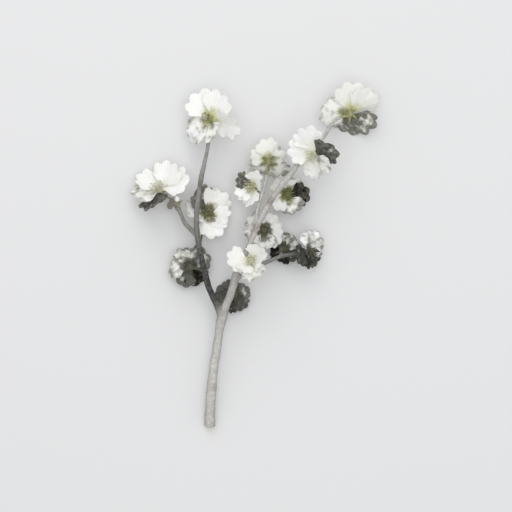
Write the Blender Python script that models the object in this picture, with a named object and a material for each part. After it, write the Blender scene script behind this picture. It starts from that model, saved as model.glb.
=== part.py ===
"""Pear blossom branch: a cut, forked twig with fourteen open blooms and one bud, lying on a surface.

Frame: metres, +Y along the branch from the cut end to the tips, +X across it, +Z up off the surface.
The origin is the middle of the underside of the whole object's box.
"""
import math
import random

import bmesh
import bpy
import numpy as np

for item in list(bpy.data.objects):
    bpy.data.objects.remove(item, do_unlink=True)

# Driving dimensions, in millimetres and degrees
MM = 0.001
CUT_END = (-27.3, -103.4)
FIFTH = 72.0

# A direction that no tube starts along, to set the first ring's side by
NEVER_ALONG = (0.31, 0.17, 0.94)

# Wood: sides of the thick limbs, the twigs, the knobs and the spurs
LIMB_SIDES = 8
TWIG_SIDES = 6
KNOB_SIDES = 6
KNOB_WAY = (0.1, 1.0, 0.1)
SPUR_SIDES = 5
SPUR_RADIUS = 1.15
SPUR_TAPER = 0.85
# Rings of an egg: place along its length and share of its radius
EGG_RINGS = ((-0.5, 0.3), (-0.22, 1.0), (0.22, 1.0), (0.5, 0.3))

# Petals: the ring they stand on, the claw, the blade's outline and its waves
RING_SIDES = 7
RING_RADIUS = 2.1
RING_LOW = -0.3
RING_HIGH = 0.6
PETAL_THICK = 0.6
CLAW_ROOT = 1.45
CLAW_LENGTH = 1.3
CLAW_WIDTH = 1.45
PETAL_WIDTH = 1.12
SIDE_FALL = 1.2
SIDE_POWER = 0.5
LOBE_DEPTH = 0.14
LOBE_STEP = 25.0
LOBE_END = 2.2
# Rows of the blade: share of its length and angles across it, the last row being the lobed margin
INNER_ROWS = ((0.32, (-56, 0, 56)), (0.68, (-60, -30, 0, 30, 60)))
MARGIN = (-61, -41, -25, -18, -7, 0, 7, 18, 25, 41, 61)
CURL_LOW = -0.35
CURL_HIGH = 0.4
CURL_PITCH = 90.0
CROSS_CUP = 0.22
RUFFLE = 0.035
RUFFLE_WAVES = 6.0
PETAL_TWIST = 12.0
TWIST_REACH = 0.4

# Calyx: stalk, five-sided cup, sepals and how far they hang under the petals beside them
STALK_SIDES = 5
STALK_RADIUS = 0.62
STALK_GAP = 0.3
STALK_STEPS = 4
CUP_TOP = -0.62
CUP_FOOT = 3.4
CUP_RINGS = ((-3.8, 0.95), (-2.4, 1.7), (CUP_TOP, 2.05))
SEPAL_LENGTH = 5.2
SEPAL_WIDTH = 1.9
SEPAL_TIP = 0.64
SEPAL_HOOK = -0.3
SEPAL_THICK = 0.6
SEPAL_ROOT = 0.9
SEPAL_DROP = 0.75
SEPAL_NEAR = 70.0
SEPAL_BELOW = 30.0
SEPAL_STRAY = (-6.0, 2.0)
SEPAL_PITCH = (-70.0, -12.0)

# Stamens: disc, filaments with their anthers, and the bundle of styles
DISC_SIDES = 6
DISC_LOW = 0.9
DISC_HIGH = 1.6
DISC_RADIUS = 1.25
STAMENS = 5
HANGING_STAMENS = 4
HANGING_LEAN = 120.0
FILAMENT_SIDES = 3
FILAMENT_RADIUS = 0.3
FILAMENT_LENGTH = 5.6
FILAMENT_SHARE = (0.8, 1.05)
FILAMENT_TILT = (10.0, 24.0)
FILAMENT_ROOT = 0.8
FILAMENT_SUNK = 0.2
FILAMENT_STRAY = 0.12
ANTHER_RADIUS = 0.62
ANTHER_BELOW = 0.9
ANTHER_ABOVE = 0.8
STYLE_RADIUS = 0.36
STYLE_LENGTH = 4.4

# The wood's centrelines from the middle of the cut end: across, along, up, radius
TRUNK = [
    (0.0, 0.0, 2.98, 3.20), (0.4, 10.6, 5.2, 3.00), (2.5, 34.7, 10.0, 2.75),
    (4.4, 46.7, 12.4, 2.60), (6.2, 58.8, 14.8, 2.65), (7.9, 67.2, 16.4, 3.05), (10.1, 73.8, 17.6, 2.60),
    (12.4, 78.7, 18.6, 2.45), (14.8, 86.8, 20.0, 2.30), (17.0, 94.8, 21.0, 2.05), (20.0, 101.4, 21.8, 1.85),
    (23.2, 107.3, 22.4, 1.65), (26.7, 115.7, 22.9, 1.60), (30.4, 124.2, 23.2, 1.75),
    (37.9, 137.4, 23.2, 1.70), (42.8, 144.4, 22.9, 1.75), (50.9, 154.7, 21.7, 1.65),
    (54.2, 159.3, 20.6, 1.45), (59.0, 163.5, 19.9, 1.30), (65.9, 170.1, 19.4, 1.15),
    (69.5, 175.3, 19.0, 1.05), (72.3, 180.2, 18.3, 1.05), (75.8, 184.6, 17.6, 1.00),
    (78.6, 186.4, 17.2, 1.10),
]
LEFT_LIMB = [
    (7.6, 63.6, 15.6, 2.00), (6.2, 69.6, 16.8, 2.10), (4.1, 75.0, 17.7, 2.00), (2.1, 78.7, 18.2, 1.90),
    (-1.0, 86.8, 19.0, 1.85), (-2.8, 94.2, 19.6, 1.80), (-5.9, 108.6, 20.3, 1.70),
    (-7.1, 115.8, 20.5, 1.70), (-7.5, 123.1, 20.7, 1.60), (-7.1, 132.6, 21.0, 1.55),
    (-4.3, 151.8, 21.6, 1.40), (-1.0, 166.8, 22.0, 1.10), (-0.2, 172.8, 22.0, 1.15),
]
LEFT_TWIG = [
    (-7.2, 115.0, 20.5, 1.30), (-10.0, 118.0, 19.6, 1.35), (-13.9, 121.8, 17.6, 1.25),
    (-18.1, 130.2, 13.2, 1.20), (-21.1, 135.0, 10.0, 1.25), (-22.9, 137.2, 8.4, 1.45),
]
MIDDLE_TWIG = [
    (27.9, 118.6, 23.0, 1.10), (28.4, 126.3, 22.2, 1.10), (29.6, 133.4, 21.0, 1.05),
    (31.6, 140.0, 19.6, 1.00), (33.5, 146.0, 18.2, 1.00), (34.6, 151.6, 16.6, 1.10),
]
SIDE_TWIG = [
    (15.0, 87.4, 20.1, 1.30), (18.2, 90.3, 20.0, 1.35), (22.7, 93.3, 19.6, 1.25),
    (27.8, 96.0, 19.0, 1.25), (32.0, 98.0, 18.4, 1.20), (37.4, 100.6, 17.7, 1.15),
    (43.3, 102.8, 16.6, 1.20), (48.4, 103.9, 14.6, 1.15), (51.8, 104.3, 13.0, 1.20),
]

# Bark knobs and dormant buds on the wood: place, radius, stretch along the branch
KNOBS = [
    (-23.6, 133.6, 9.6, 1.9, 1.3), (2.6, 24.4, 8.6, 2.0, 1.6),
    (36.6, 136.0, 24.0, 1.6, 1.2), (-5.2, 146.4, 22.0, 1.4, 1.4), (29.0, 119.6, 23.4, 1.6, 1.2),
]

# Each bloom: middle, lean of its face from straight up, way it leans, petals (turn, pitch, length, any twist
# of its own), root and end of its spur, bend of its stalk. A bloom with no spur root grows from a limb's end.
BLOOMS = {
    "tip_left": dict(
        middle=(0.8, 184.8, 24.0), lean=36, toward=160,
        petals=[(116, 4, 21.1), (55, 16, 18.9), (-17, -8, 21.2, 42), (-74, 16, 15.9), (-148, -7, 20.1)],
        spur=[(-0.2, 172.8, 22.0)], heading=(0.12, 0.98, 0.0), bend=4.0),
    "twig_left": dict(
        middle=(-29.8, 142.4, 11.3), lean=47, toward=123,
        petals=[(52, 34, 19.7), (21, 12, 21.1), (-96, 14, 18.8), (-156, 28, 18.4), (133, 26, 18.5, 21)],
        spur=[(-22.9, 137.2, 8.4)], heading=(-0.7, 0.5, -0.6), bend=2.0),
    "limb_left_upper": dict(
        middle=(-1.2, 128.8, 7.0), lean=28, toward=62,
        petals=[(115, 38, 17.7), (57, 25, 17.7), (-25, 30, 15.1), (-76, 6, 17.7), (-171, 28, 16.5)],
        spur=[(-6.0, 108.6, 20.3), (-5.6, 109.8, 15.4)], bend=7.0),
    "limb_left_lower": dict(
        middle=(-11.8, 96.0, 13.0), lean=169, toward=186,
        petals=[(87, 37, 15.0), (155, 22, 16.7), (243, 42, 15.7), (299, 42, 14.5), (16, 43, 14.5)],
        spur=[(-2.8, 94.2, 19.6), (-6.0, 95.2, 20.4)], bend=2.5),
    "fork": dict(
        middle=(14.9, 79.4, 9.6), lean=170, toward=275,
        petals=[(272, 38, 12.7), (352, 38, 12.0), (60, 44, 12.5), (129, 44, 12.5), (207, 34, 14.7)],
        spur=[(14.6, 84.6, 19.4), (15.5, 83.8, 15.9)], bend=1.2),
    "limb_right_front": dict(
        middle=(25.0, 100.3, 28.4), lean=10, toward=129,
        petals=[(176, 36, 15.9), (46, 48, 13.8, 10), (-22, 58, 12.6), (-76, 34, 15.4), (-128, 50, 12.6)],
        spur=[(18.8, 98.9, 21.4), (22.0, 99.2, 22.6)], bend=1.4),
    "limb_right_back": dict(
        middle=(33.0, 118.8, 9.0), lean=5, toward=229,
        petals=[(127, 40, 15.5), (60, 37, 13.4), (-22, 39, 15.3), (-88, 44, 15.3), (-164, 46, 15.5)],
        spur=[(22.6, 106.2, 22.3), (23.4, 106.6, 17.6)], bend=7.0),
    "limb_right_upper": dict(
        middle=(47.0, 140.4, 8.0), lean=13, toward=344,
        petals=[(70, 42, 13.8), (0, 42, 15.2), (-69, 40, 14.6), (-149, 32, 14.5), (148, 36, 15.2)],
        spur=[(51.2, 155.1, 21.6), (51.2, 155.0, 17.4)], bend=7.0),
    "limb_right_high": dict(
        middle=(62.8, 163.8, 32.9), lean=46, toward=218,
        petals=[(98, 5, 18.9), (21, 1, 18.1), (-41, 9, 15.5), (-110, 6, 17.3), (168, 12, 17.7)],
        spur=[(66.4, 170.8, 19.7), (67.3, 170.6, 22.8)], bend=2.4),
    "tip_right": dict(
        middle=(84.4, 189.2, 12.85), lean=149, toward=96,
        petals=[(286, 7, 20.4), (334, 12, 20.4), (54, -6, 18.9), (106, 17, 17.7), (194, -2, 18.5)],
        spur=[(78.6, 186.4, 17.2)], heading=(0.9, 0.2, 0.2), bend=2.0),
    "side_inner": dict(
        middle=(44.6, 106.8, 10.4), lean=165, toward=355,
        petals=[(70, 38, 13.5), (135, 44, 12.1), (210, 44, 11.7), (277, 44, 11.0), (348, 38, 12.2)],
        spur=[(43.3, 102.8, 16.6), (43.2, 104.9, 16.8)], bend=1.2),
    "side_end": dict(
        middle=(59.0, 105.0, 14.0), lean=52, toward=1,
        petals=[(80, 13, 14.8, -50), (30, 9, 13.6, -24), (-32, 4, 12.0), (-115, 15, 10.4), (-168, 5, 13.8)],
        spur=[(51.8, 104.3, 13.0)], heading=(0.9, 0.1, -0.3), bend=1.0),
    "twig_middle": dict(
        middle=(35.4, 160.4, 15.4), lean=150, toward=94,
        petals=[(274, 12, 14.4), (204, 15, 11.9), (156, 20, 13.2), (62, 16, 16.9), (350, 18, 12.4)],
        spur=[(34.6, 151.6, 16.6)], heading=(0.05, 0.97, 0.1), bend=1.4),
    "twig_middle_hanging": dict(
        middle=(26.2, 145.0, 16.4), lean=35, toward=190,
        petals=[(70, 25, 12.5), (142, 36, 11.8), (214, 38, 12.4), (272, 30, 13.4), (8, 26, 8.6)],
        spur=[(32.0, 141.6, 19.4), (30.6, 141.0, 17.4)], bend=3.0),
}

# The unopened bud beside the left twig's bloom: middle, the way it points, its spur
BUD = dict(
    middle=(-19.2, 137.1, 18.3), way=(-0.15, 0.85, 0.5), length=4.4, radius=1.7,
    spur=[(-18.9, 131.6, 12.4), (-18.6, 132.0, 14.6)], bend=1.0)
BUD_SIDES = 7
BUD_CUP_RINGS = ((-2.0, 0.85), (0.0, 1.4))
BUD_FOOT = 1.6
BUD_SEPAL_PITCH = 22.0
BUD_SEPAL_LENGTH = 2.0
BUD_SEPAL_DROP = 0.7


def unit(vector):
    """The vector divided by its length, for one vector or for rows of them."""
    vector = np.asarray(vector, float)
    return vector / np.linalg.norm(vector, axis=-1, keepdims=True)


def bloom_axes(lean, toward):
    """Rows of the bloom's own frame: leaning way, across it, and the way its face looks."""
    a, b = math.radians(lean), math.radians(toward)
    first = (math.cos(a) * math.cos(b), math.cos(a) * math.sin(b), -math.sin(a))
    second = (-math.sin(b), math.cos(b), 0.0)
    third = (math.sin(a) * math.cos(b), math.sin(a) * math.sin(b), math.cos(a))
    return np.array([first, second, third])


def tube(line, sides):
    """Closed tube round a line of (x, y, z, radius), its rings square to the line and never twisting."""
    line = np.asarray(line, float)
    centre, radius = line[:, :3], line[:, 3]
    way = np.vstack([centre[1:2] - centre[:1], centre[2:] - centre[:-2], centre[-1:] - centre[-2:-1]])
    way = unit(way)
    side = unit(np.cross(way[0], NEVER_ALONG))
    angles = np.arange(sides) * 2 * math.pi / sides
    verts = []
    for i in range(len(line)):
        side = unit(side - way[i] * np.dot(side, way[i]))
        other = np.cross(way[i], side)
        ring = np.cos(angles)[:, None] * side + np.sin(angles)[:, None] * other
        verts.append(centre[i] + radius[i] * ring)
    verts = np.vstack(verts)
    faces = []
    for i in range(len(line) - 1):
        for k in range(sides):
            a, b = i * sides + k, i * sides + (k + 1) % sides
            faces.append((a, b, b + sides, a + sides))
    faces.append(tuple(range(sides))[::-1])
    last = (len(line) - 1) * sides
    faces.append(tuple(range(last, last + sides)))
    return verts, faces


def egg(middle, way, length, radius, sides):
    """Small faceted egg along a direction."""
    way = unit(way)
    line = [(*(np.asarray(middle) + way * length * place), radius * share) for place, share in EGG_RINGS]
    return tube(line, sides)


def zip_rows(short, long):
    """Triangles between two rows of vertex numbers that run the same way, kept even by their shares."""
    faces = []
    i = j = 0
    while i < len(short) - 1 or j < len(long) - 1:
        share_i = (i + 1) / (len(short) - 1) if i < len(short) - 1 else math.inf
        share_j = (j + 1) / (len(long) - 1) if j < len(long) - 1 else math.inf
        if share_j <= share_i:
            faces.append((short[i], long[j + 1], long[j]))
            j += 1
        else:
            faces.append((short[i], short[i + 1], long[j]))
            i += 1
    return faces


def blade(rows, thick):
    """Closed blade of one thickness whose two faces are split into the same triangles."""
    points = np.vstack(rows)
    starts = np.cumsum([0] + [len(row) for row in rows])
    numbers = [list(range(starts[i], starts[i + 1])) for i in range(len(rows))]
    faces = []
    for i in range(len(rows) - 1):
        faces += zip_rows(numbers[i], numbers[i + 1])
    faces = np.array(faces)
    corner = points[faces]
    face_way = np.cross(corner[:, 1] - corner[:, 0], corner[:, 2] - corner[:, 0])
    normal = np.zeros_like(points)
    for k in range(3):
        np.add.at(normal, faces[:, k], face_way)
    normal = unit(normal)
    count = len(points)
    verts = np.vstack([points + normal * thick / 2, points - normal * thick / 2])
    right, left = [row[-1] for row in numbers[1:-1]], [row[0] for row in numbers[-2:0:-1]]
    rim = numbers[0] + right + numbers[-1][::-1] + left
    solid = [tuple(face) for face in faces] + [tuple(face[::-1] + count) for face in faces]
    for a, b in zip(rim, rim[1:] + rim[:1]):
        solid.append((a, a + count, b + count))
        solid.append((a, b + count, b))
    return verts, solid


def petal_point(u, angle, length, curl, phase):
    """Point of a petal in its own frame: along, across and up from the claw.

    The blade's radius falls off to the sides as a power of a cosine and is notched between four lobes.
    Its height is a sag along the length, a cup across it, and a ruffle that grows to the margin."""
    angle = np.asarray(angle, float)
    lobe = np.abs(np.sin(np.radians(angle) * 180.0 / LOBE_STEP))
    notch = LOBE_DEPTH * (1 - lobe) * (u == 1.0) * (np.abs(angle) < LOBE_END * LOBE_STEP)
    side = np.cos(np.radians(angle) * SIDE_FALL) ** SIDE_POWER
    reach = (length - CLAW_ROOT - CLAW_LENGTH * 0.5) * side * (1 - notch) * u
    along = CLAW_LENGTH * 0.5 + reach * np.cos(np.radians(angle))
    across = reach * np.sin(np.radians(angle)) * PETAL_WIDTH
    share = along / length
    up = curl * length * (share**2 - share) + CROSS_CUP * across**2 / length
    up = up + RUFFLE * length * u**2 * np.sin(np.radians(angle) * RUFFLE_WAVES + phase)
    return np.stack([along, across, up], axis=-1)


def petal(toward, phase, turn, pitch, length, extra_twist=0.0):
    """One petal in the bloom's frame: claw rows, two inner rows and the lobed margin."""
    curl = max(CURL_LOW, min(CURL_HIGH, pitch / CURL_PITCH))
    rows = [np.array([[0.0, -CLAW_WIDTH / 2, 0.0], [0.0, CLAW_WIDTH / 2, 0.0]])]
    for u, angles in (*INNER_ROWS, (1.0, MARGIN)):
        rows.append(petal_point(u, angles, length, curl, phase))
    verts, faces = blade(rows, PETAL_THICK)
    spin = np.radians(PETAL_TWIST + extra_twist * np.clip(verts[:, 0] / (TWIST_REACH * length), 0.0, 1.0))
    across = verts[:, 1] * np.cos(spin) - verts[:, 2] * np.sin(spin)
    up = verts[:, 1] * np.sin(spin) + verts[:, 2] * np.cos(spin)
    tilt = math.radians(pitch)
    out = CLAW_ROOT + verts[:, 0] * math.cos(tilt) - up * math.sin(tilt)
    high = (RING_LOW + RING_HIGH) / 2 + verts[:, 0] * math.sin(tilt) + up * math.cos(tilt)
    around = math.radians(turn - toward)
    x = out * math.cos(around) - across * math.sin(around)
    y = out * math.sin(around) + across * math.cos(around)
    return np.stack([x, y, high], axis=1), faces


def sepal(turn, pitch, toward, length, high_root):
    """One pointed sepal below the petals, its tip bent back."""
    root, tip = SEPAL_WIDTH / 2, SEPAL_TIP / 2
    rows = [
        np.array([[0.0, -root, 0.0], [0.0, root, 0.0]]),
        np.array([[length, -tip, SEPAL_HOOK], [length, tip, SEPAL_HOOK]]),
    ]
    verts, faces = blade(rows, SEPAL_THICK)
    tilt, around = math.radians(pitch), math.radians(turn - toward)
    out = SEPAL_ROOT + verts[:, 0] * math.cos(tilt) - verts[:, 2] * math.sin(tilt)
    high = high_root + verts[:, 0] * math.sin(tilt) + verts[:, 2] * math.cos(tilt)
    x = out * math.cos(around) - verts[:, 1] * math.sin(around)
    y = out * math.sin(around) + verts[:, 1] * math.cos(around)
    return np.stack([x, y, high], axis=1), faces


def lowest_petal(petals, turn):
    """Pitch of the lowest petal near a sepal's turn, less half of that petal's own twist."""
    near = []
    for way, pitch, _, *twist in petals:
        if abs((way - turn + 180) % 360 - 180) < SEPAL_NEAR:
            near.append(pitch - abs(sum(twist)) / 2)
    return min(near)


def placed(part, axes, middle):
    """A solid taken from the bloom's frame into the branch's."""
    verts, faces = part
    return verts @ axes + np.asarray(middle, float), faces


def stalk_line(spur, heading, foot, axis, bend):
    """Cubic curve from just off the spur's end to the cup's foot, as points with the stalk's radius."""
    tip = np.array(spur[-1], float)
    if len(spur) == 2:
        heading = tip - np.array(spur[0])
    heading = unit(heading)
    start = tip + heading * STALK_GAP
    share = np.linspace(0.0, 1.0, STALK_STEPS)[:, None]
    hold_a, hold_b = start + heading * bend, foot - axis * bend
    line = (
        (1 - share)**3 * start + 3 * (1 - share)**2 * share * hold_a
        + 3 * (1 - share) * share**2 * hold_b + share**3 * foot)
    return [(*point, STALK_RADIUS) for point in line]


def cup(rings, turn):
    """Five-sided cup whose flat sides look the way the sepals grow."""
    corners = np.radians((np.arange(5) + 0.5) * FIFTH + turn)
    verts = [np.stack([radius * np.cos(corners), radius * np.sin(corners), np.full(5, high)], axis=1)
             for high, radius in rings]
    faces = [(5 * i + k, 5 * i + (k + 1) % 5, 5 * i + 5 + (k + 1) % 5, 5 * i + 5 + k)
             for i in range(len(rings) - 1) for k in range(5)]
    faces += [(4, 3, 2, 1, 0), tuple(range(5 * len(rings) - 5, 5 * len(rings)))]
    return np.vstack(verts), faces


def material(name, colour, roughness):
    """Principled material of one plain colour."""
    made = bpy.data.materials.new(name)
    made.use_nodes = True
    shader = made.node_tree.nodes["Principled BSDF"]
    shader.inputs["Base Color"].default_value = (*colour, 1.0)
    shader.inputs["Roughness"].default_value = roughness
    return made


def solid_object(name, part):
    """Mesh object of one closed solid, its faces turned outward."""
    verts, faces = part
    verts = np.array(verts, float)
    verts[:, 0] += CUT_END[0]
    verts[:, 1] += CUT_END[1]
    mesh = bpy.data.meshes.new(name)
    mesh.from_pydata((verts * MM).tolist(), [], [tuple(int(i) for i in face) for face in faces])
    sheet = bmesh.new()
    sheet.from_mesh(mesh)
    bmesh.ops.triangulate(sheet, faces=sheet.faces)
    bmesh.ops.recalc_face_normals(sheet, faces=sheet.faces)
    sheet.to_mesh(mesh)
    sheet.free()
    item = bpy.data.objects.new(name, mesh)
    bpy.context.scene.collection.objects.link(item)
    return item


def keep_largest(sheet):
    """Drops the sealed specks that a seam can leave inside, all but the body with the most faces."""
    left, bodies = set(sheet.faces), []
    while left:
        body, front = set(), [left.pop()]
        while front:
            face = front.pop()
            body.add(face)
            for edge in face.edges:
                found = left.intersection(edge.link_faces)
                left -= found
                front += found
        bodies.append(body)
    bodies.sort(key=len)
    for body in bodies[:-1]:
        bmesh.ops.delete(sheet, geom=list(body), context="FACES")


def fuse(name, parts, look, smooth=False):
    """One object from solids that run into one another, joined by one union."""
    base = solid_object(name, parts[0])
    others = bpy.data.collections.new(name + "_others")
    bpy.context.scene.collection.children.link(others)
    for i, part in enumerate(parts[1:]):
        item = solid_object(f"{name}_{i}", part)
        bpy.context.scene.collection.objects.unlink(item)
        others.objects.link(item)
    if len(parts) > 1:
        join = base.modifiers.new("join", "BOOLEAN")
        join.operation = "UNION"
        join.operand_type = "COLLECTION"
        join.collection = others
        join.solver = "MANIFOLD"
        view = bpy.context.evaluated_depsgraph_get()
        joined = bpy.data.meshes.new_from_object(base.evaluated_get(view))
        base.modifiers.clear()
        base.data = joined
    for item in list(others.objects):
        bpy.data.objects.remove(item, do_unlink=True)
    bpy.data.collections.remove(others)
    sheet = bmesh.new()
    sheet.from_mesh(base.data)
    bmesh.ops.remove_doubles(sheet, verts=sheet.verts, dist=0.000001)
    keep_largest(sheet)
    bmesh.ops.triangulate(sheet, faces=sheet.faces)
    sheet.to_mesh(base.data)
    sheet.free()
    base.data.materials.clear()
    base.data.materials.append(look)
    if smooth:
        base.data.shade_smooth()
    return base


BARK = material("bark", (0.42, 0.38, 0.33), 0.85)
PETAL = material("petal", (0.88, 0.88, 0.85), 0.55)
CALYX = material("calyx", (0.24, 0.25, 0.12), 0.6)
STAMEN = material("stamen", (0.62, 0.64, 0.33), 0.6)

# Wood: trunk, limbs and twigs with the blooms' spurs, grown as one piece
wood = []
for limb in (TRUNK, LEFT_LIMB):
    wood.append(tube(limb, LIMB_SIDES))
for twig in (LEFT_TWIG, MIDDLE_TWIG, SIDE_TWIG):
    wood.append(tube(twig, TWIG_SIDES))
for x, y, z, radius, stretch in KNOBS:
    wood.append(egg((x, y, z), KNOB_WAY, 2 * radius * stretch, radius, KNOB_SIDES))
for bloom in [*BLOOMS.values(), BUD]:
    if len(bloom["spur"]) == 2:
        root, tip = bloom["spur"]
        wood.append(tube([(*root, SPUR_RADIUS), (*tip, SPUR_RADIUS * SPUR_TAPER)], SPUR_SIDES))
fuse("branch_wood", wood, BARK, smooth=True)

# Blooms: petals on a ring, calyx with its stalk, stamens on a disc
for number, (name, bloom) in enumerate(BLOOMS.items()):
    chance = random.Random(100 + number)
    axes = bloom_axes(bloom["lean"], bloom["toward"])
    middle = np.array(bloom["middle"], float)
    toward = bloom["toward"]
    ring = tube([(0, 0, RING_LOW, RING_RADIUS), (0, 0, RING_HIGH, RING_RADIUS)], RING_SIDES)
    parts = [placed(ring, axes, middle)]
    for shape in bloom["petals"]:
        phase = chance.uniform(0.0, 2 * math.pi)
        parts.append(placed(petal(toward, phase, *shape), axes, middle))
    fuse(name + "_petals", parts, PETAL)

    foot = middle - axes[2] * CUP_FOOT
    line = stalk_line(bloom["spur"], bloom.get("heading"), foot, axes[2], bloom["bend"])
    first = bloom["petals"][0][0] + FIFTH / 2
    parts = [tube(line, STALK_SIDES), placed(cup(CUP_RINGS, first - toward), axes, middle)]
    for k in range(5):
        turn = first + FIFTH * k
        pitch = lowest_petal(bloom["petals"], turn) - SEPAL_BELOW + chance.uniform(*SEPAL_STRAY)
        pitch = max(SEPAL_PITCH[0], min(SEPAL_PITCH[1], pitch))
        parts.append(placed(sepal(turn, pitch, toward, SEPAL_LENGTH, CUP_TOP - SEPAL_DROP), axes, middle))
    fuse(name + "_calyx", parts, CALYX)

    disc = tube([(0, 0, DISC_LOW, DISC_RADIUS), (0, 0, DISC_HIGH, DISC_RADIUS)], DISC_SIDES)
    parts = [placed(disc, axes, middle)]
    root_high = DISC_LOW + FILAMENT_SUNK
    count = STAMENS if bloom["lean"] < HANGING_LEAN else HANGING_STAMENS
    for k in range(count):
        around = math.radians((k + chance.uniform(-FILAMENT_STRAY, FILAMENT_STRAY)) * 360 / count)
        tilt = math.radians(chance.uniform(*FILAMENT_TILT))
        out = np.array([math.cos(around), math.sin(around), 0.0])
        way = out * math.sin(tilt) + np.array([0.0, 0.0, math.cos(tilt)])
        root = out * FILAMENT_ROOT + np.array([0.0, 0.0, root_high])
        head = root + way * FILAMENT_LENGTH * chance.uniform(*FILAMENT_SHARE)
        line = [
            (*root, FILAMENT_RADIUS), (*(head - way * ANTHER_BELOW), FILAMENT_RADIUS),
            (*head, ANTHER_RADIUS), (*(head + way * ANTHER_ABOVE), FILAMENT_RADIUS)]
        parts.append(placed(tube(line, FILAMENT_SIDES), axes, middle))
    style = [(0, 0, root_high, STYLE_RADIUS), (0, 0, root_high + STYLE_LENGTH, STYLE_RADIUS)]
    parts.append(placed(tube(style, FILAMENT_SIDES), axes, middle))
    fuse(name + "_stamens", parts, STAMEN)

# Bud: closed white ball of petals in its own small calyx
axis = unit(BUD["way"])
side = unit(np.cross(axis, (0.0, 0.0, 1.0)))
axes = np.array([side, np.cross(axis, side), axis])
middle = np.array(BUD["middle"])
fuse("bud_petals", [egg(middle, axis, BUD["length"], BUD["radius"], BUD_SIDES)], PETAL)
top = -BUD["length"] / 2 - STALK_GAP
foot = middle + axis * (top - BUD_FOOT)
parts = [tube(stalk_line(BUD["spur"], None, foot, axis, BUD["bend"]), STALK_SIDES)]
parts.append(placed(cup([(top + high, radius) for high, radius in BUD_CUP_RINGS], 0.0), axes, middle))
for k in range(5):
    scale = sepal(FIFTH * k, BUD_SEPAL_PITCH, 0.0, BUD_SEPAL_LENGTH, top - BUD_SEPAL_DROP)
    parts.append(placed(scale, axes, middle))
fuse("bud_calyx", parts, CALYX)
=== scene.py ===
"""Looks of a cut pear branch in blossom, lying on a pale surface and seen from above.

Lengths are in millimetres from the middle of the cut end, until a mesh is made of them."""
import math
import random

import bpy
import numpy as np
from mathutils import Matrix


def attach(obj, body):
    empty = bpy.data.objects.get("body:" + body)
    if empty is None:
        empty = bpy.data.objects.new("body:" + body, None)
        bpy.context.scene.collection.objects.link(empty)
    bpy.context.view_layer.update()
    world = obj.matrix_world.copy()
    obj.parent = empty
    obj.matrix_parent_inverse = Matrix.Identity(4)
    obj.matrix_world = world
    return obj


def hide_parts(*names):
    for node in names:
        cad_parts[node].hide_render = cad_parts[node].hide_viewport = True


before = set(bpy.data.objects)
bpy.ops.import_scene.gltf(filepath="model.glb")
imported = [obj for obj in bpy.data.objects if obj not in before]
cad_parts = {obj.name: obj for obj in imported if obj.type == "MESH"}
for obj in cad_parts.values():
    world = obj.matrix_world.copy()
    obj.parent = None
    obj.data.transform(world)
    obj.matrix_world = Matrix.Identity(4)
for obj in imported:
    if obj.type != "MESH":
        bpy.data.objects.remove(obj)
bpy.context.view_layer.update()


# Wood
# A young pear shoot: trunk, two limbs and three twigs that grew as one piece under thin, smooth, grey-beige
# bark with pale pores and girdles of bud scars. Short ringed spurs carry the blooms. The thick end is a
# fresh square cut.

MM = 0.001
CUT_END = np.array((-27.3, -103.4, 0.0))
FLOOR_GAP = 0.03
WOOD_SEED = 7
LIMB_SIDES = 32
LIMB_STEP = 0.5
# Slow swellings of every limb: waves round it, length of a wave along it, depth as a share of its radius
SWELLINGS = [(2, 23.0, 0.035), (1, 11.0, 0.03), (3, 6.5, 0.02)]
RINGS = 4
RING_SPACING = 0.9
RING_WIDTH = 0.3
RING_HEIGHT = 0.2
SPUR_SIDES = 20
SPUR_ROWS = 41
SPUR_RADIUS = 1.15
SPUR_TAPER = 0.15
SPUR_FLARE = 0.6
FLARE_LENGTH = 1.2
SPUR_RING_HEIGHT = 0.09
LEAF_BUD_SIDES = 18
LEAF_BUD_ROWS = 33
LEAF_BUD_WAY = (0.1, 1.0, 0.1)
LEAF_BUD_TAPER = 0.25
LEAF_BUD_SCALES = 4
SCALE_EDGE = 0.1
LEAF_BUD_TIP = 0.12
WOOD_GRID = 0.3
WOOD_SMOOTHING = 4

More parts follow.
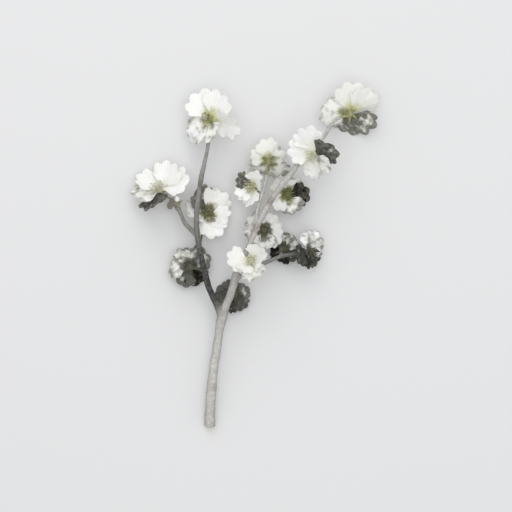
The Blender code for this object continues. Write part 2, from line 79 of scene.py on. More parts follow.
# Each limb's centreline (across, along, up, radius), the lengths along it of its girdles of scars, and how
# much shade is painted on its bark, as pairs of length along it and darkness
LIMBS = {
    "trunk": dict(
        line=[
            (0.0, 0.0, 2.98, 3.2), (0.4, 10.6, 5.2, 3.0), (2.5, 34.7, 10.0, 2.75), (4.4, 46.7, 12.4, 2.6),
            (6.2, 58.8, 14.8, 2.65), (7.9, 67.2, 16.4, 3.05), (10.1, 73.8, 17.6, 2.6),
            (12.4, 78.7, 18.6, 2.45), (14.8, 86.8, 20.0, 2.3), (17.0, 94.8, 21.0, 2.05),
            (20.0, 101.4, 21.8, 1.85), (23.2, 107.3, 22.4, 1.65), (26.7, 115.7, 22.9, 1.6),
            (30.4, 124.2, 23.2, 1.75), (37.9, 137.4, 23.2, 1.7), (42.8, 144.4, 22.9, 1.75),
            (50.9, 154.7, 21.7, 1.65), (54.2, 159.3, 20.6, 1.45), (59.0, 163.5, 19.9, 1.3),
            (65.9, 170.1, 19.4, 1.15), (69.5, 175.3, 19.0, 1.05), (72.3, 180.2, 18.3, 1.05),
            (75.8, 184.6, 17.6, 1.0), (78.6, 186.4, 17.2, 1.1)],
        girdles=[50.0, 133.0, 176.0],
        painted_shade=[
            (0.0, 0.12), (20.0, 0.0), (55.0, 0.05), (70.0, 0.22), (95.0, 0.3), (120.0, 0.15), (230.0, 0.1)]),
    "left_limb": dict(
        line=[
            (7.6, 63.6, 15.6, 2.0), (6.2, 69.6, 16.8, 2.1), (4.1, 75.0, 17.7, 2.0), (2.1, 78.7, 18.2, 1.9),
            (-1.0, 86.8, 19.0, 1.85), (-2.8, 94.2, 19.6, 1.8), (-5.9, 108.6, 20.3, 1.7),
            (-7.1, 115.8, 20.5, 1.7), (-7.5, 123.1, 20.7, 1.6), (-7.1, 132.6, 21.0, 1.55),
            (-4.3, 151.8, 21.6, 1.4), (-1.0, 166.8, 22.0, 1.1), (-0.2, 172.8, 22.0, 1.15)],
        girdles=[56.0, 88.0],
        painted_shade=[
            (0.0, 0.1), (5.0, 0.5), (11.0, 0.9), (18.0, 1.0), (42.0, 0.97), (56.0, 0.75), (80.0, 0.62),
            (112.0, 0.45)]),
    "left_twig": dict(
        line=[
            (-7.2, 115.0, 20.5, 1.3), (-10.0, 118.0, 19.6, 1.35), (-13.9, 121.8, 17.6, 1.25),
            (-18.1, 130.2, 13.2, 1.2), (-21.1, 135.0, 10.0, 1.25), (-22.9, 137.2, 8.4, 1.45)],
        girdles=[22.0],
        painted_shade=[(0.0, 0.7), (20.0, 0.5), (30.0, 0.4)]),
    "middle_twig": dict(
        line=[
            (27.9, 118.6, 23.0, 1.1), (28.4, 126.3, 22.2, 1.1), (29.6, 133.4, 21.0, 1.05),
            (31.6, 140.0, 19.6, 1.0), (33.5, 146.0, 18.2, 1.0), (34.6, 151.6, 16.6, 1.1)],
        girdles=[28.0],
        painted_shade=[(0.0, 0.1), (40.0, 0.1)]),
    "side_twig": dict(
        line=[
            (15.0, 87.4, 20.1, 1.3), (18.2, 90.3, 20.0, 1.35), (22.7, 93.3, 19.6, 1.25),
            (27.8, 96.0, 19.0, 1.25), (32.0, 98.0, 18.4, 1.2), (37.4, 100.6, 17.7, 1.15),
            (43.3, 102.8, 16.6, 1.2), (48.4, 103.9, 14.6, 1.15), (51.8, 104.3, 13.0, 1.2)],
        girdles=[19.0],
        painted_shade=[(0.0, 0.3), (18.0, 0.55), (40.0, 0.8)]),
}

# Root and end of the spur that carries each bloom, for those that don't grow from the end of a limb
SPURS = {
    "limb_left_upper": [(-6.0, 108.6, 20.3), (-5.6, 109.8, 15.4)],
    "limb_left_lower": [(-2.8, 94.2, 19.6), (-6.0, 95.2, 20.4)],
    "fork": [(14.6, 84.6, 19.4), (15.5, 83.8, 15.9)],
    "limb_right_front": [(18.8, 98.9, 21.4), (22.0, 99.2, 22.6)],
    "limb_right_back": [(22.6, 106.2, 22.3), (23.4, 106.6, 17.6)],
    "limb_right_upper": [(51.2, 155.1, 21.6), (51.2, 155.0, 17.4)],
    "limb_right_high": [(66.4, 170.8, 19.7), (67.3, 170.6, 22.8)],
    "side_inner": [(43.3, 102.8, 16.6), (43.2, 104.9, 16.8)],
    "twig_middle_hanging": [(32.0, 141.6, 19.4), (30.6, 141.0, 17.4)],
    "bud": [(-18.9, 131.6, 12.4), (-18.6, 132.0, 14.6)],
}

# Resting leaf buds on the bark: place, radius, length over width
LEAF_BUDS = [
    (-23.6, 133.6, 9.6, 1.9, 1.3), (2.6, 24.4, 8.6, 2.0, 1.6),
    (36.6, 136.0, 24.0, 1.6, 1.2), (-5.2, 146.4, 22.0, 1.4, 1.4), (29.0, 119.6, 23.4, 1.6, 1.2),
]


def unit(vectors):
    """Vectors divided by their lengths."""
    vectors = np.asarray(vectors, float)
    return vectors / np.maximum(np.linalg.norm(vectors, axis=-1, keepdims=True), 1e-12)


def smooth_line(points, step):
    """Smooth curve through rows of (x, y, z, radius), read at every step of length, and its lengths along.

    On each span it is the cubic that meets both points with the slope that their neighbours give."""
    points = np.asarray(points, float)
    span = np.linalg.norm(np.diff(points[:, :3], axis=0), axis=1)
    knots = np.concatenate([[0.0], np.cumsum(span)])
    slope = np.gradient(points, knots, axis=0)
    along = np.linspace(0.0, knots[-1], max(3, int(round(knots[-1] / step)) + 1))
    here = np.clip(np.searchsorted(knots, along, side="right") - 1, 0, len(span) - 1)
    size = span[here][:, None]
    t = (along - knots[here])[:, None] / size
    ends = (2 * t**3 - 3 * t**2 + 1) * points[here] + (3 * t**2 - 2 * t**3) * points[here + 1]
    slopes = (t**3 - 2 * t**2 + t) * size * slope[here] + (t**3 - t**2) * size * slope[here + 1]
    return ends + slopes, along


def path_frames(paths):
    """At each point of a batch of paths: the way along it, and two ways square to it and to each other. The
    first is its cross product with the axis that the whole path turns toward least."""
    way = unit(np.gradient(paths, axis=1))
    still = np.eye(3)[np.argmin(np.abs(way).max(axis=1), axis=1)][:, None]
    side = unit(np.cross(way, still))
    return way, side, np.cross(way, side)


def full_turn(count):
    """A circle's angles, evenly spaced."""
    return np.arange(count) * 2 * math.pi / count


def sleeve_faces(count, points, sides):
    """Faces of a batch of sleeves: quads that join neighbouring rings, and one face to close each end."""
    start = np.arange(count)[:, None, None] * points * sides
    row = start + np.arange(points - 1)[:, None] * sides
    near, far = row + np.arange(sides), row + (np.arange(sides) + 1) % sides
    quads = np.stack([near, far, far + sides, near + sides], axis=-1).reshape(-1, 4)
    first = start[:, 0] + np.arange(sides)[::-1]
    last = start[:, 0] + (points - 1) * sides + np.arange(sides)
    return quads.tolist() + first.tolist() + last.tolist()


def sleeves(paths, radii, sides):
    """Closed sleeves round a batch of paths. Round each point lies a ring: point + radius (cos a side + sin a
    other). paths is (count, points, 3), and radii is (count, points) or (count, points, sides)."""
    paths, radii = np.asarray(paths, float), np.asarray(radii, float)
    if radii.ndim == 2:
        radii = radii[..., None]
    way, side, other = path_frames(paths)
    angle = full_turn(sides)[:, None]
    ring = np.cos(angle) * side[:, :, None] + np.sin(angle) * other[:, :, None]
    verts = paths[:, :, None] + radii[..., None] * ring
    return verts.reshape(-1, 3), sleeve_faces(*paths.shape[:2], sides)


def joined(parts):
    """One list of points and faces from several."""
    faces, start = [], 0
    for verts, rows in parts:
        faces += [[corner + start for corner in face] for face in rows]
        start += len(verts)
    return np.vstack([verts for verts, rows in parts]), faces


def add_values(mesh, name, rows):
    """Gives a mesh's points a named value: a vector if it has three numbers, and a colour if it has four."""
    rows = np.asarray(rows, np.float32)
    kind, field = ("FLOAT_VECTOR", "vector") if rows.shape[1] == 3 else ("FLOAT_COLOR", "color")
    mesh.attributes.new(name, kind, "POINT").data.foreach_set(field, rows.ravel())


def piece_of(name, verts, faces, values=None):
    """Smooth mesh object at the origin, with named values at its points: three numbers or four each."""
    mesh = bpy.data.meshes.new(name)
    mesh.from_pydata(((verts + CUT_END) * MM).tolist(), [], faces)
    for key, rows in (values or {}).items():
        add_values(mesh, key, rows)
    mesh.shade_smooth()
    made = bpy.data.objects.new(name, mesh)
    bpy.context.scene.collection.objects.link(made)
    return made


def rows_of(items, field):
    """One field of a mesh's points, normals or faces, as rows of three numbers."""
    rows = np.empty(len(items) * 3, np.float32)
    items.foreach_get(field, rows)
    return rows.reshape(-1, 3).astype(float)


def limb_sleeve(line, along, girdles, chance):
    """A limb: its radius swells and dips in slow sine waves along and round it. At each girdle it stands up
    in fine rings, by exp of minus the square of how far off each ring is over RING_WIDTH."""
    radius = np.repeat(line[:, 3:], LIMB_SIDES, axis=1)
    for waves, period, depth in SWELLINGS:
        phase = chance.uniform(0.0, 2 * math.pi)
        wave = np.sin(2 * math.pi * along[:, None] / period + waves * full_turn(LIMB_SIDES) + phase)
        radius = radius * (1 + depth * wave)
    for girdle in girdles:
        rings = girdle + RING_SPACING * np.arange(RINGS)
        raised = np.exp(-((along[:, None] - rings) / RING_WIDTH)**2).sum(axis=1)
        radius = radius + RING_HEIGHT * raised[:, None]
    return sleeves(line[None, :, :3], radius[None], LIMB_SIDES)


def spur_sleeve(root, tip):
    """A spur: its radius tapers, flares by exp of minus the way from the limb over FLARE_LENGTH, and swells
    to a ring of scars for each year by |sin| of that way over RING_SPACING."""
    share = np.linspace(0.0, 1.0, SPUR_ROWS)
    length = np.linalg.norm(np.subtract(tip, root))
    radius = SPUR_RADIUS * (1 - SPUR_TAPER * share) + SPUR_FLARE * np.exp(-share * length / FLARE_LENGTH)
    radius = radius * (1 + SPUR_RING_HEIGHT * np.abs(np.sin(math.pi * share * length / RING_SPACING)))
    path = np.asarray(root) + share[:, None] * np.subtract(tip, root)
    return sleeves(path[None], radius[None], SPUR_SIDES)


def leaf_bud_sleeve(middle, radius, stretch):
    """A leaf bud along the branch: its radius is a circle's, tapered, and steps up to each scale's edge."""
    share = np.linspace(0.0, 1.0, LEAF_BUD_ROWS)
    swell = np.sqrt(np.maximum(1 - (2 * share - 1)**2, 0.0)) * (1 - LEAF_BUD_TAPER * share)
    steps = 1 + SCALE_EDGE * ((share * LEAF_BUD_SCALES) % 1.0)
    path = np.asarray(middle) + (share[:, None] - 0.5) * 2 * radius * stretch * unit(LEAF_BUD_WAY)
    return sleeves(path[None], (radius * swell * steps + LEAF_BUD_TIP)[None], LEAF_BUD_SIDES)


def grown_together(parts):
    """One mesh round sleeves that run into each other: cut anew on a fine grid, with the folds smoothed."""
    rough = piece_of("rough_wood", *joined(parts))
    remesh = rough.modifiers.new("skin", "REMESH")
    remesh.mode = "VOXEL"
    remesh.voxel_size = WOOD_GRID * MM
    rough.modifiers.new("folds", "SMOOTH").iterations = WOOD_SMOOTHING
    view = bpy.context.evaluated_depsgraph_get()
    mesh = bpy.data.meshes.new_from_object(rough.evaluated_get(view))
    bpy.data.objects.remove(rough)
    return mesh


PORE_SEED = 11
PORES = 420
PORE_RADIUS = 0.42
PORE_HEIGHT = 0.1
PORELESS_END = 1.0
SHADE_BLEND = 2.2
POINTS_AT_ONCE = 4000
# How far from the middle of a leaf bud its brown starts to fade into the bark, and where it ends
BUD_BROWN = (1.56, 4.16)


def nearest(points, centres, values):
    """For each point the number of the nearest centre, and a blend of the values of the centres near it.

    Each is weighted by exp of minus how much further off it is in squared distance than the nearest, over the
    square of SHADE_BLEND. It is worked out for one block of points at a time."""
    numbers, blends = [], []
    for block in np.array_split(points, 1 + len(points) // POINTS_AT_ONCE):
        further = (centres**2).sum(axis=1) - 2 * block @ centres.T
        further -= further.min(axis=1, keepdims=True)
        weights = np.exp(-further / SHADE_BLEND**2)
        numbers.append(np.argmin(further, axis=1))
        blends.append(weights @ values / weights.sum(axis=1))
    return np.concatenate(numbers), np.concatenate(blends)


chance = random.Random(WOOD_SEED)
sleeve_parts, limb_rows = [], []
for limb in LIMBS.values():
    line, along = smooth_line(limb["line"], LIMB_STEP)
    sleeve_parts.append(limb_sleeve(line, along, limb["girdles"], chance))
    way, side, other = path_frames(line[None, :, :3])
    painted_shade = np.interp(along, *np.transpose(limb["painted_shade"]))
    limb_rows.append((line[:, :3], way[0], side[0], other[0], along, painted_shade))
sleeve_parts += [spur_sleeve(root, tip) for root, tip in SPURS.values()]
sleeve_parts += [leaf_bud_sleeve((x, y, z), radius, stretch) for x, y, z, radius, stretch in LEAF_BUDS]
centres, ways, sides, others, lengths, painted_shades = (np.concatenate(rows) for rows in zip(*limb_rows))

skin = grown_together(sleeve_parts)
bark_points = rows_of(skin.vertices, "co") / MM - CUT_END
bark_ways = rows_of(skin.vertex_normals, "vector")
dice = np.random.default_rng(PORE_SEED)
pore = np.zeros(len(bark_points))
for centre in bark_points[dice.choice(len(bark_points), PORES, replace=False)]:
    away = np.linalg.norm(bark_points - centre, axis=1)
    pore = np.maximum(pore, np.exp(-(away / PORE_RADIUS)**2))
bud_near = np.zeros(len(bark_points))
for x, y, z, radius, stretch in LEAF_BUDS:
    away = np.linalg.norm(bark_points - (x, y, z), axis=1)
    bud_near = np.maximum(bud_near, np.interp(away, BUD_BROWN, (1.0, 0.0)))
# Painted shade at each point of the bark: the limbs' levels, blended where limbs meet
line_number, painted_shade = nearest(bark_points, centres, painted_shades)
off = bark_points - centres[line_number]
across, over = (off * sides[line_number]).sum(axis=1), (off * others[line_number]).sum(axis=1)
grain = np.stack([across, over, lengths[line_number]], axis=1)
raised = PORE_HEIGHT * pore * (grain[:, 2] > PORELESS_END)
bark_points = bark_points + bark_ways * raised[:, None]
bark_points[:, 2] = np.maximum(bark_points[:, 2], FLOOR_GAP)
skin.vertices.foreach_set("co", ((bark_points + CUT_END) * MM).astype(np.float32).ravel())
add_values(skin, "grain", grain)
# Per point: painted shade, pore, brown near buds, and how far it faces up, which sets painted shade on the
# flanks
add_values(skin, "bark", np.stack([painted_shade, pore, bud_near, np.clip(bark_ways[:, 2], 0.0, 1.0)], axis=1))
skin.update()


def colour(paint):
    """Linear colour, with full alpha, of an sRGB hex value."""
    parts = np.array([int(paint[i:i + 2], 16) for i in (1, 3, 5)]) / 255
    linear = np.where(parts <= 0.04045, parts / 12.92, ((parts + 0.055) / 1.055)**2.4)
    return (*linear.tolist(), 1.0)


def fill(socket, value):
    """Gives an input a plain value, or links it to an output, or to the first output in use of a node."""
    if isinstance(value, bpy.types.Node):
        value = next(output for output in value.outputs if output.enabled)
    if isinstance(value, bpy.types.NodeSocket):
        socket.id_data.links.new(value, socket)
    elif value is not None:
        socket.default_value = value


def add_node(tree, kind, *values, **settings):
    """Adds one shader node with its settings and fills its inputs in use, in their order, but not with None.

    A MapRange takes a value, the two ends of its range, and what they become if that isn't 0 and 1."""
    made = tree.nodes.new("ShaderNode" + kind)
    for key, value in settings.items():
        setattr(made, key, value)
    for socket, value in zip([each for each in made.inputs if each.enabled], values):
        fill(socket, value)
    return made


def new_material(name, inputs):
    """A material with its tree and its principled shader, whose plain inputs are given by name."""
    made = bpy.data.materials.new(name)
    made.use_nodes = True
    shader = made.node_tree.nodes["Principled BSDF"]
    for key, value in inputs.items():
        fill(shader.inputs[key], value)
    return made, made.node_tree, shader


# Smooth pear bark is matt, with a waxy grey skin over brown: soft blotches, hair-fine lengthwise lines,
# pale corky pores and dark specks, and it is brown where buds and scars break it. Lines and specks are
# coarser than real ones, so that they show. Sizes are across, across and along the limb.
BLOTCH_SIZE = 2.857
LINE_SIZE = (0.3846, 0.3846, 4.545)
SPECK_SIZE = (0.6667, 0.6667, 1.4286)
BARK_RELIEF = 0.12

bark, tree, shader = new_material("smooth_pear_bark", {"Roughness": 0.82})
grain_place = add_node(tree, "Attribute", attribute_name="grain").outputs["Vector"]
bark_facts = add_node(tree, "Attribute", attribute_name="bark")
painted_shade_here, on_pore, near_bud = add_node(tree, "SeparateColor", bark_facts).outputs
blotch = add_node(tree, "TexNoise", grain_place, 1 / BLOTCH_SIZE, 4.0)
line_place = add_node(tree, "Mapping", grain_place, None, None, [1 / size for size in LINE_SIZE])
lines = add_node(tree, "TexNoise", line_place, 1.0, 3.0)
speck_place = add_node(tree, "Mapping", grain_place, None, None, [1 / size for size in SPECK_SIZE])
specks = add_node(tree, "TexNoise", speck_place, 1.0, 2.0)
blotch_share = add_node(tree, "MapRange", blotch, 0.35, 0.65)
line_share = add_node(tree, "MapRange", lines, 0.4, 0.7, 0.0, 0.55)
speck_share = add_node(tree, "MapRange", specks, 0.66, 0.74, 0.0, 0.75)
# Painted shade: the bark goes darker on its flanks, the further it turns from facing straight up
painted_flank_shade = add_node(tree, "MapRange", bark_facts.outputs["Alpha"], 0.85, 0.1, 0.0, 0.55)
# Painted shade along the limbs, made uneven by the specks
uneven_painted_shade = add_node(tree, "MapRange", specks, 0.4, 0.62, 1.0, 0.84)
painted_shade_share = add_node(tree, "Math", painted_shade_here, uneven_painted_shade, operation="MULTIPLY")
# Coats over the pale wax: blotches, fine lines, specks, brown buds, pores, painted shade on flanks and limbs
paint = colour("#CDCCC8")
for share, coat in (
        (blotch_share, "#B9B7B2"), (line_share, "#AAA499"), (speck_share, "#6E655B"), (near_bud, "#A39A90"),
        (on_pore, "#DCD7CC"), (painted_flank_shade, "#6F6C65"), (painted_shade_share, "#141310")):
    paint = add_node(tree, "Mix", share, paint, colour(coat), data_type="RGBA")
relief = add_node(tree, "Math", lines, specks, operation="ADD")
fill(shader.inputs["Base Color"], paint)
fill(shader.inputs["Normal"], add_node(tree, "Bump", 0.5, BARK_RELIEF * MM, None, relief))

# Fresh sapwood at the cut is dull straw with fine year rings, a brown pith and a green line under the bark
YEAR_RING = 0.698
PITH_EDGE = (0.55, 0.35)
GREEN_EDGE = (2.45, 2.6)
RIND_EDGE = (2.75, 2.85)
CUT_DEPTH = 0.14

cut_wood, tree, shader = new_material("fresh_cut_pear_wood", {"Roughness": 0.65})
grain_place = add_node(tree, "Attribute", attribute_name="grain").outputs["Vector"]
place_on_cut = add_node(tree, "Mapping", grain_place, None, None, (1.0, 1.0, 0.0))
from_pith = add_node(tree, "VectorMath", place_on_cut, operation="LENGTH")
ring_turns = add_node(tree, "Math", from_pith, 2 * math.pi / YEAR_RING, operation="MULTIPLY")
ring_line = add_node(tree, "Math", ring_turns, operation="SINE")
ring_share = add_node(tree, "MapRange", ring_line, 0.2, 1.0)
pith_share = add_node(tree, "MapRange", from_pith, *PITH_EDGE)
green_share = add_node(tree, "MapRange", from_pith, *GREEN_EDGE)
rind_share = add_node(tree, "MapRange", from_pith, *RIND_EDGE)
# Coats over the straw: year rings, pith, green line and rind
paint = colour("#E2D3AC")
for share, coat in (
        (ring_share, "#CDB98A"), (pith_share, "#9A7A50"), (green_share, "#9EAA5E"), (rind_share, "#7D6E5C")):
    paint = add_node(tree, "Mix", share, paint, colour(coat), data_type="RGBA")
fill(shader.inputs["Base Color"], paint)

branch = bpy.data.objects.new("wood_of_branch", skin)
bpy.context.scene.collection.objects.link(branch)
skin.name = "wood_of_branch"
skin.materials.clear()
skin.materials.append(bark)
skin.materials.append(cut_wood)
past_cut = (rows_of(skin.polygons, "center") / MM - CUT_END - centres[0]) @ ways[0]
skin.polygons.foreach_set("material_index", (past_cut < CUT_DEPTH).astype(np.int32))
skin.shade_smooth()
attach(branch, "root")
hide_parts("branch_wood")


# Petals
# Five white petals to a bloom, each one thin satin blade on a narrow claw, lobed and ruffled at its margin.
# They sit on the rim of the calyx, each over one neighbour and under the other. Some carry painted shade,
# grey-olive to near-black.

# Each bloom: middle, lean of its face from straight up, way it leans, how deep the shade painted in its heart
# is, how green its throat is, how black its painted shade goes if at all, and its petals as (turn, pitch,
# length), followed where they aren't 0 by how much shade is painted on each and how far it twists beyond the
# rest
BLOOMS = {
    "tip_left": dict(
        middle=(0.8, 184.8, 24.0), lean=36, toward=160, heart_shade=0.2, throat=0.8, petals=[
            (116, 4, 21.1), (55, 16, 18.9), (-17, -8, 21.2, 0, 42),
            (-74, 16, 15.9, 0.28), (-148, -7, 20.1, 0.3)]),
    "twig_left": dict(
        middle=(-29.8, 142.4, 11.3), lean=47, toward=123, heart_shade=0.1, throat=0.25, petals=[
            (52, 34, 19.7), (21, 12, 21.1), (-96, 14, 18.8, 0.85),
            (-156, 28, 18.4, 0.3), (133, 26, 18.5, 0, 21)]),
    "limb_left_upper": dict(
        middle=(-1.2, 128.8, 7.0), lean=28, toward=62, heart_shade=0.6, throat=0.8, petals=[
            (115, 38, 17.7, 0.7), (57, 25, 17.7, 0.1), (-25, 30, 15.1),
            (-76, 6, 17.7, 0.05), (-171, 28, 16.5, 0.3)]),
    "limb_left_lower": dict(
        middle=(-11.8, 96.0, 13.0), lean=169, toward=186, heart_shade=1.0, throat=0.2, shade_blackness=0.65, petals=[
            (87, 37, 15.0, 0.42), (155, 22, 16.7, 0.55), (243, 42, 15.7, 1),
            (299, 42, 14.5, 0.7), (16, 43, 14.5, 0.4)]),
    "fork": dict(
        middle=(14.9, 79.4, 9.6), lean=170, toward=275, heart_shade=1.0, throat=0.2, shade_blackness=0.5, petals=[
            (272, 38, 12.7, 0.75), (352, 38, 12.0, 0.65), (60, 44, 12.5, 0.8),
            (129, 44, 12.5, 0.9), (207, 34, 14.7, 0.8)]),
    "limb_right_front": dict(
        middle=(25.0, 100.3, 28.4), lean=10, toward=129, heart_shade=0.0, throat=0.25, petals=[
            (176, 36, 15.9), (46, 48, 13.8, 0, 10), (-22, 58, 12.6, 0.1),
            (-76, 34, 15.4, 0.25), (-128, 50, 12.6, 0.12)]),
    "limb_right_back": dict(
        middle=(33.0, 118.8, 9.0), lean=5, toward=229, heart_shade=0.8, throat=0.5, petals=[
            (127, 40, 15.5, 0.25), (60, 37, 13.4), (-22, 39, 15.3, 0.05),
            (-88, 44, 15.3, 0.4), (-164, 46, 15.5, 0.4)]),
    "limb_right_upper": dict(
        middle=(47.0, 140.4, 8.0), lean=13, toward=344, heart_shade=0.5, throat=1.0, shade_blackness=0.3, petals=[
            (70, 42, 13.8, 0.25), (0, 42, 15.2, 1), (-69, 40, 14.6, 0.45),
            (-149, 32, 14.5, 0.05), (148, 36, 15.2, 0.15)]),
    "limb_right_high": dict(
        middle=(62.8, 163.8, 32.9), lean=46, toward=218, heart_shade=0.0, throat=0.25, petals=[
            (98, 5, 18.9), (21, 1, 18.1, 0.8), (-41, 9, 15.5, 0.3),
            (-110, 6, 17.3, 0.15), (168, 12, 17.7)]),
    "tip_right": dict(
        middle=(84.4, 189.2, 12.85), lean=149, toward=96, heart_shade=0.0, throat=0.8, petals=[
            (286, 7, 20.4), (334, 12, 20.4, 0.05), (54, -6, 18.9, 0.6),
            (106, 17, 17.7, 0.6), (194, -2, 18.5, 0.25)]),
    "side_inner": dict(
        middle=(44.6, 106.8, 10.4), lean=165, toward=355, heart_shade=1.0, throat=0.0, shade_blackness=1.0, petals=[
            (70, 38, 13.5, 0.5), (135, 44, 12.1, 0.4), (210, 44, 11.7, 0.8),
            (277, 44, 11.0, 1), (348, 38, 12.2, 1)]),
    "side_end": dict(
        middle=(59.0, 105.0, 14.0), lean=52, toward=1, heart_shade=1.0, throat=0.1, shade_blackness=0.7, petals=[
            (80, 13, 14.8, 0.35, -50), (30, 9, 13.6, 0.5, -24), (-32, 4, 12.0, 0.9),
            (-115, 15, 10.4, 1), (-168, 5, 13.8, 0.9)]),
    "twig_middle": dict(
        middle=(35.4, 160.4, 15.4), lean=150, toward=94, heart_shade=0.3, throat=0.8, petals=[
            (274, 12, 14.4), (204, 15, 11.9, 0.05), (156, 20, 13.2, 0.3),
            (62, 16, 16.9, 0.3), (350, 18, 12.4, 0.25)]),
    "twig_middle_hanging": dict(
        middle=(26.2, 145.0, 16.4), lean=35, toward=190, heart_shade=0.1, throat=0.5, petals=[
            (70, 25, 12.5, 0.2), (142, 36, 11.8, 0.75), (214, 38, 12.4, 0.15),
            (272, 30, 13.4), (8, 26, 8.6, 0.1)]),
}
for bloom in BLOOMS.values():
    bloom["petals"] = [(*petal, 0, 0)[:5] for petal in bloom["petals"]]

BLOOM_SEED = 100
RUFFLE_SEED = 500
PETAL_ROWS = 19
ROW_SPACING = 0.85
PETAL_SPREAD = 61.0
PETAL_WIDTH = 1.12
PETAL_THICK = 0.26
EDGE_THINNING = 0.55
PETAL_TWIST = 12.0
TWIST_REACH = 0.4
PETAL_CURLS = (-0.35, 0.4)
PETAL_LEAN = 0.04
SIDE_FALL = 1.2
SIDE_POWER = 0.5
CLAW_OUT = 1.45
CLAW_HIGH = 0.15
CLAW_LENGTH = 1.3
CLAW_WIDTH = 1.45
CLAW_SHARE = 0.32
MARGIN_START = 0.6
LOBE_STEP = 25.0
LOBES_END = 2 * LOBE_STEP
LOBE_FADE = (49.0, 55.0)
LOBE_DEPTH = 0.14
UNEVEN_MARGIN = 0.03
UNEVEN_WAVES = 5
RUFFLE = 0.035
RUFFLE_WAVES = 6
FINE_RUFFLE = 0.012
FINE_WAVES = 17
BUCKLE = 0.05
BUCKLE_WAVES = (9, 11)
PHASES = (0.0, 6.0)
CROSS_CUP = 0.22
MIDRIB_DEPTH = 0.32
MIDRIB_WIDTH = 0.06
# Angles of a petal's grid lines in degrees, denser in the lobes, with one line in every notch between lobes
PETAL_ANGLES = np.concatenate([
    np.linspace(-PETAL_SPREAD, -LOBES_END, 5)[:-1], np.linspace(-LOBES_END, LOBES_END, 45),
    np.linspace(LOBES_END, PETAL_SPREAD, 5)[1:]])


def bloom_axes(lean, toward):
    """Rows of the bloom's own frame: the way it leans, across that, and the way its face looks."""
    a, b = math.radians(lean), math.radians(toward)
    return np.array([
        (math.cos(a) * math.cos(b), math.cos(a) * math.sin(b), -math.sin(a)),
        (-math.sin(b), math.cos(b), 0.0),
        (math.sin(a) * math.cos(b), math.sin(a) * math.sin(b), math.cos(a))])


def petal_surface(length, curl, phase, dice):
    """Middle surface of a petal, along, across and up, as a grid of rows from claw to margin.

    The blade's reach falls off to the sides as a power of a cosine, and |sin| of the angle cuts the notches
    between four lobes. Its height is a sag along it, a cup across it, ruffles that grow to the margin, slight
    buckles, and a groove for the midrib."""
    angle = np.radians(PETAL_ANGLES)
    share = (np.linspace(0.0, 1.0, PETAL_ROWS)**ROW_SPACING)[:, None]
    margin = np.clip((share - MARGIN_START) / (1 - MARGIN_START), 0.0, 1.0)**2
    lobed = LOBE_DEPTH * np.interp(np.abs(PETAL_ANGLES), LOBE_FADE, (1.0, 0.0))
    notch = lobed * (1 - np.abs(np.sin(math.pi * PETAL_ANGLES / LOBE_STEP))) * margin
    uneven = 1 + UNEVEN_MARGIN * margin * np.sin(UNEVEN_WAVES * angle + dice.uniform(*PHASES))
    side = np.cos(SIDE_FALL * angle)**SIDE_POWER
    reach = (length - CLAW_OUT - CLAW_LENGTH / 2) * side * (1 - notch) * uneven * share
    claw = np.clip(1 - share / CLAW_SHARE, 0.0, 1.0)
    lean = PETAL_LEAN * dice.uniform(-1.0, 1.0)
    along = CLAW_LENGTH / 2 * (1 - claw**2) + reach * np.cos(angle)
    across = reach * np.sin(angle) * PETAL_WIDTH + CLAW_WIDTH / 2 * claw**1.5 * PETAL_ANGLES / PETAL_SPREAD
    across = across + lean * along * share
    part = along / length
    up = curl * length * (part**2 - part) + CROSS_CUP * across**2 / length
    up = up + RUFFLE * length * share**2 * np.sin(RUFFLE_WAVES * angle + phase)
    up = up + FINE_RUFFLE * length * share**4 * np.sin(FINE_WAVES * angle + dice.uniform(*PHASES))
    buckled = np.sin(BUCKLE_WAVES[0] * share + dice.uniform(*PHASES)) * np.sin(BUCKLE_WAVES[1] * angle)
    up = up + BUCKLE * buckled
    up = up - MIDRIB_DEPTH * np.exp(-(angle / MIDRIB_WIDTH)**2) * share * (1 - share)**0.5
    return np.stack([along, across, up], axis=-1)


def blade_solid(middle, thick):
    """Closed blade round a grid of points: a face at half the thickness on each side, and a rim strip."""
    rows, columns = middle.shape[:2]
    normal = unit(np.cross(np.gradient(middle, axis=0), np.gradient(middle, axis=1)))
    half = normal * np.broadcast_to(thick, (rows, columns))[..., None] / 2
    verts = np.concatenate([(middle + half).reshape(-1, 3), (middle - half).reshape(-1, 3)])
    number = np.arange(rows * columns).reshape(rows, columns)
    a, b, c, d = number[:-1, :-1], number[1:, :-1], number[1:, 1:], number[:-1, 1:]
    top = np.stack([a, b, c, d], axis=-1).reshape(-1, 4)
    rim = np.concatenate([number[:, 0], number[-1, 1:], number[-2::-1, -1], number[0, -2:0:-1]])
    following = np.roll(rim, -1)
    count = rows * columns
    wall = np.stack([rim, rim + count, following + count, following], axis=-1)
    return verts, np.concatenate([top, top[:, ::-1] + count, wall]).tolist()


def set_on_bloom(verts, turn, pitch, root_out, root_high):
    """A blade's points in the bloom's frame: tilted up by its pitch, moved to its root and turned round."""
    tilt, around = math.radians(pitch), math.radians(turn)
    out = root_out + verts[:, 0] * math.cos(tilt) - verts[:, 2] * math.sin(tilt)
    high = root_high + verts[:, 0] * math.sin(tilt) + verts[:, 2] * math.cos(tilt)
    x = out * math.cos(around) - verts[:, 1] * math.sin(around)
    y = out * math.sin(around) + verts[:, 1] * math.cos(around)
    return np.stack([x, y, high], axis=1)


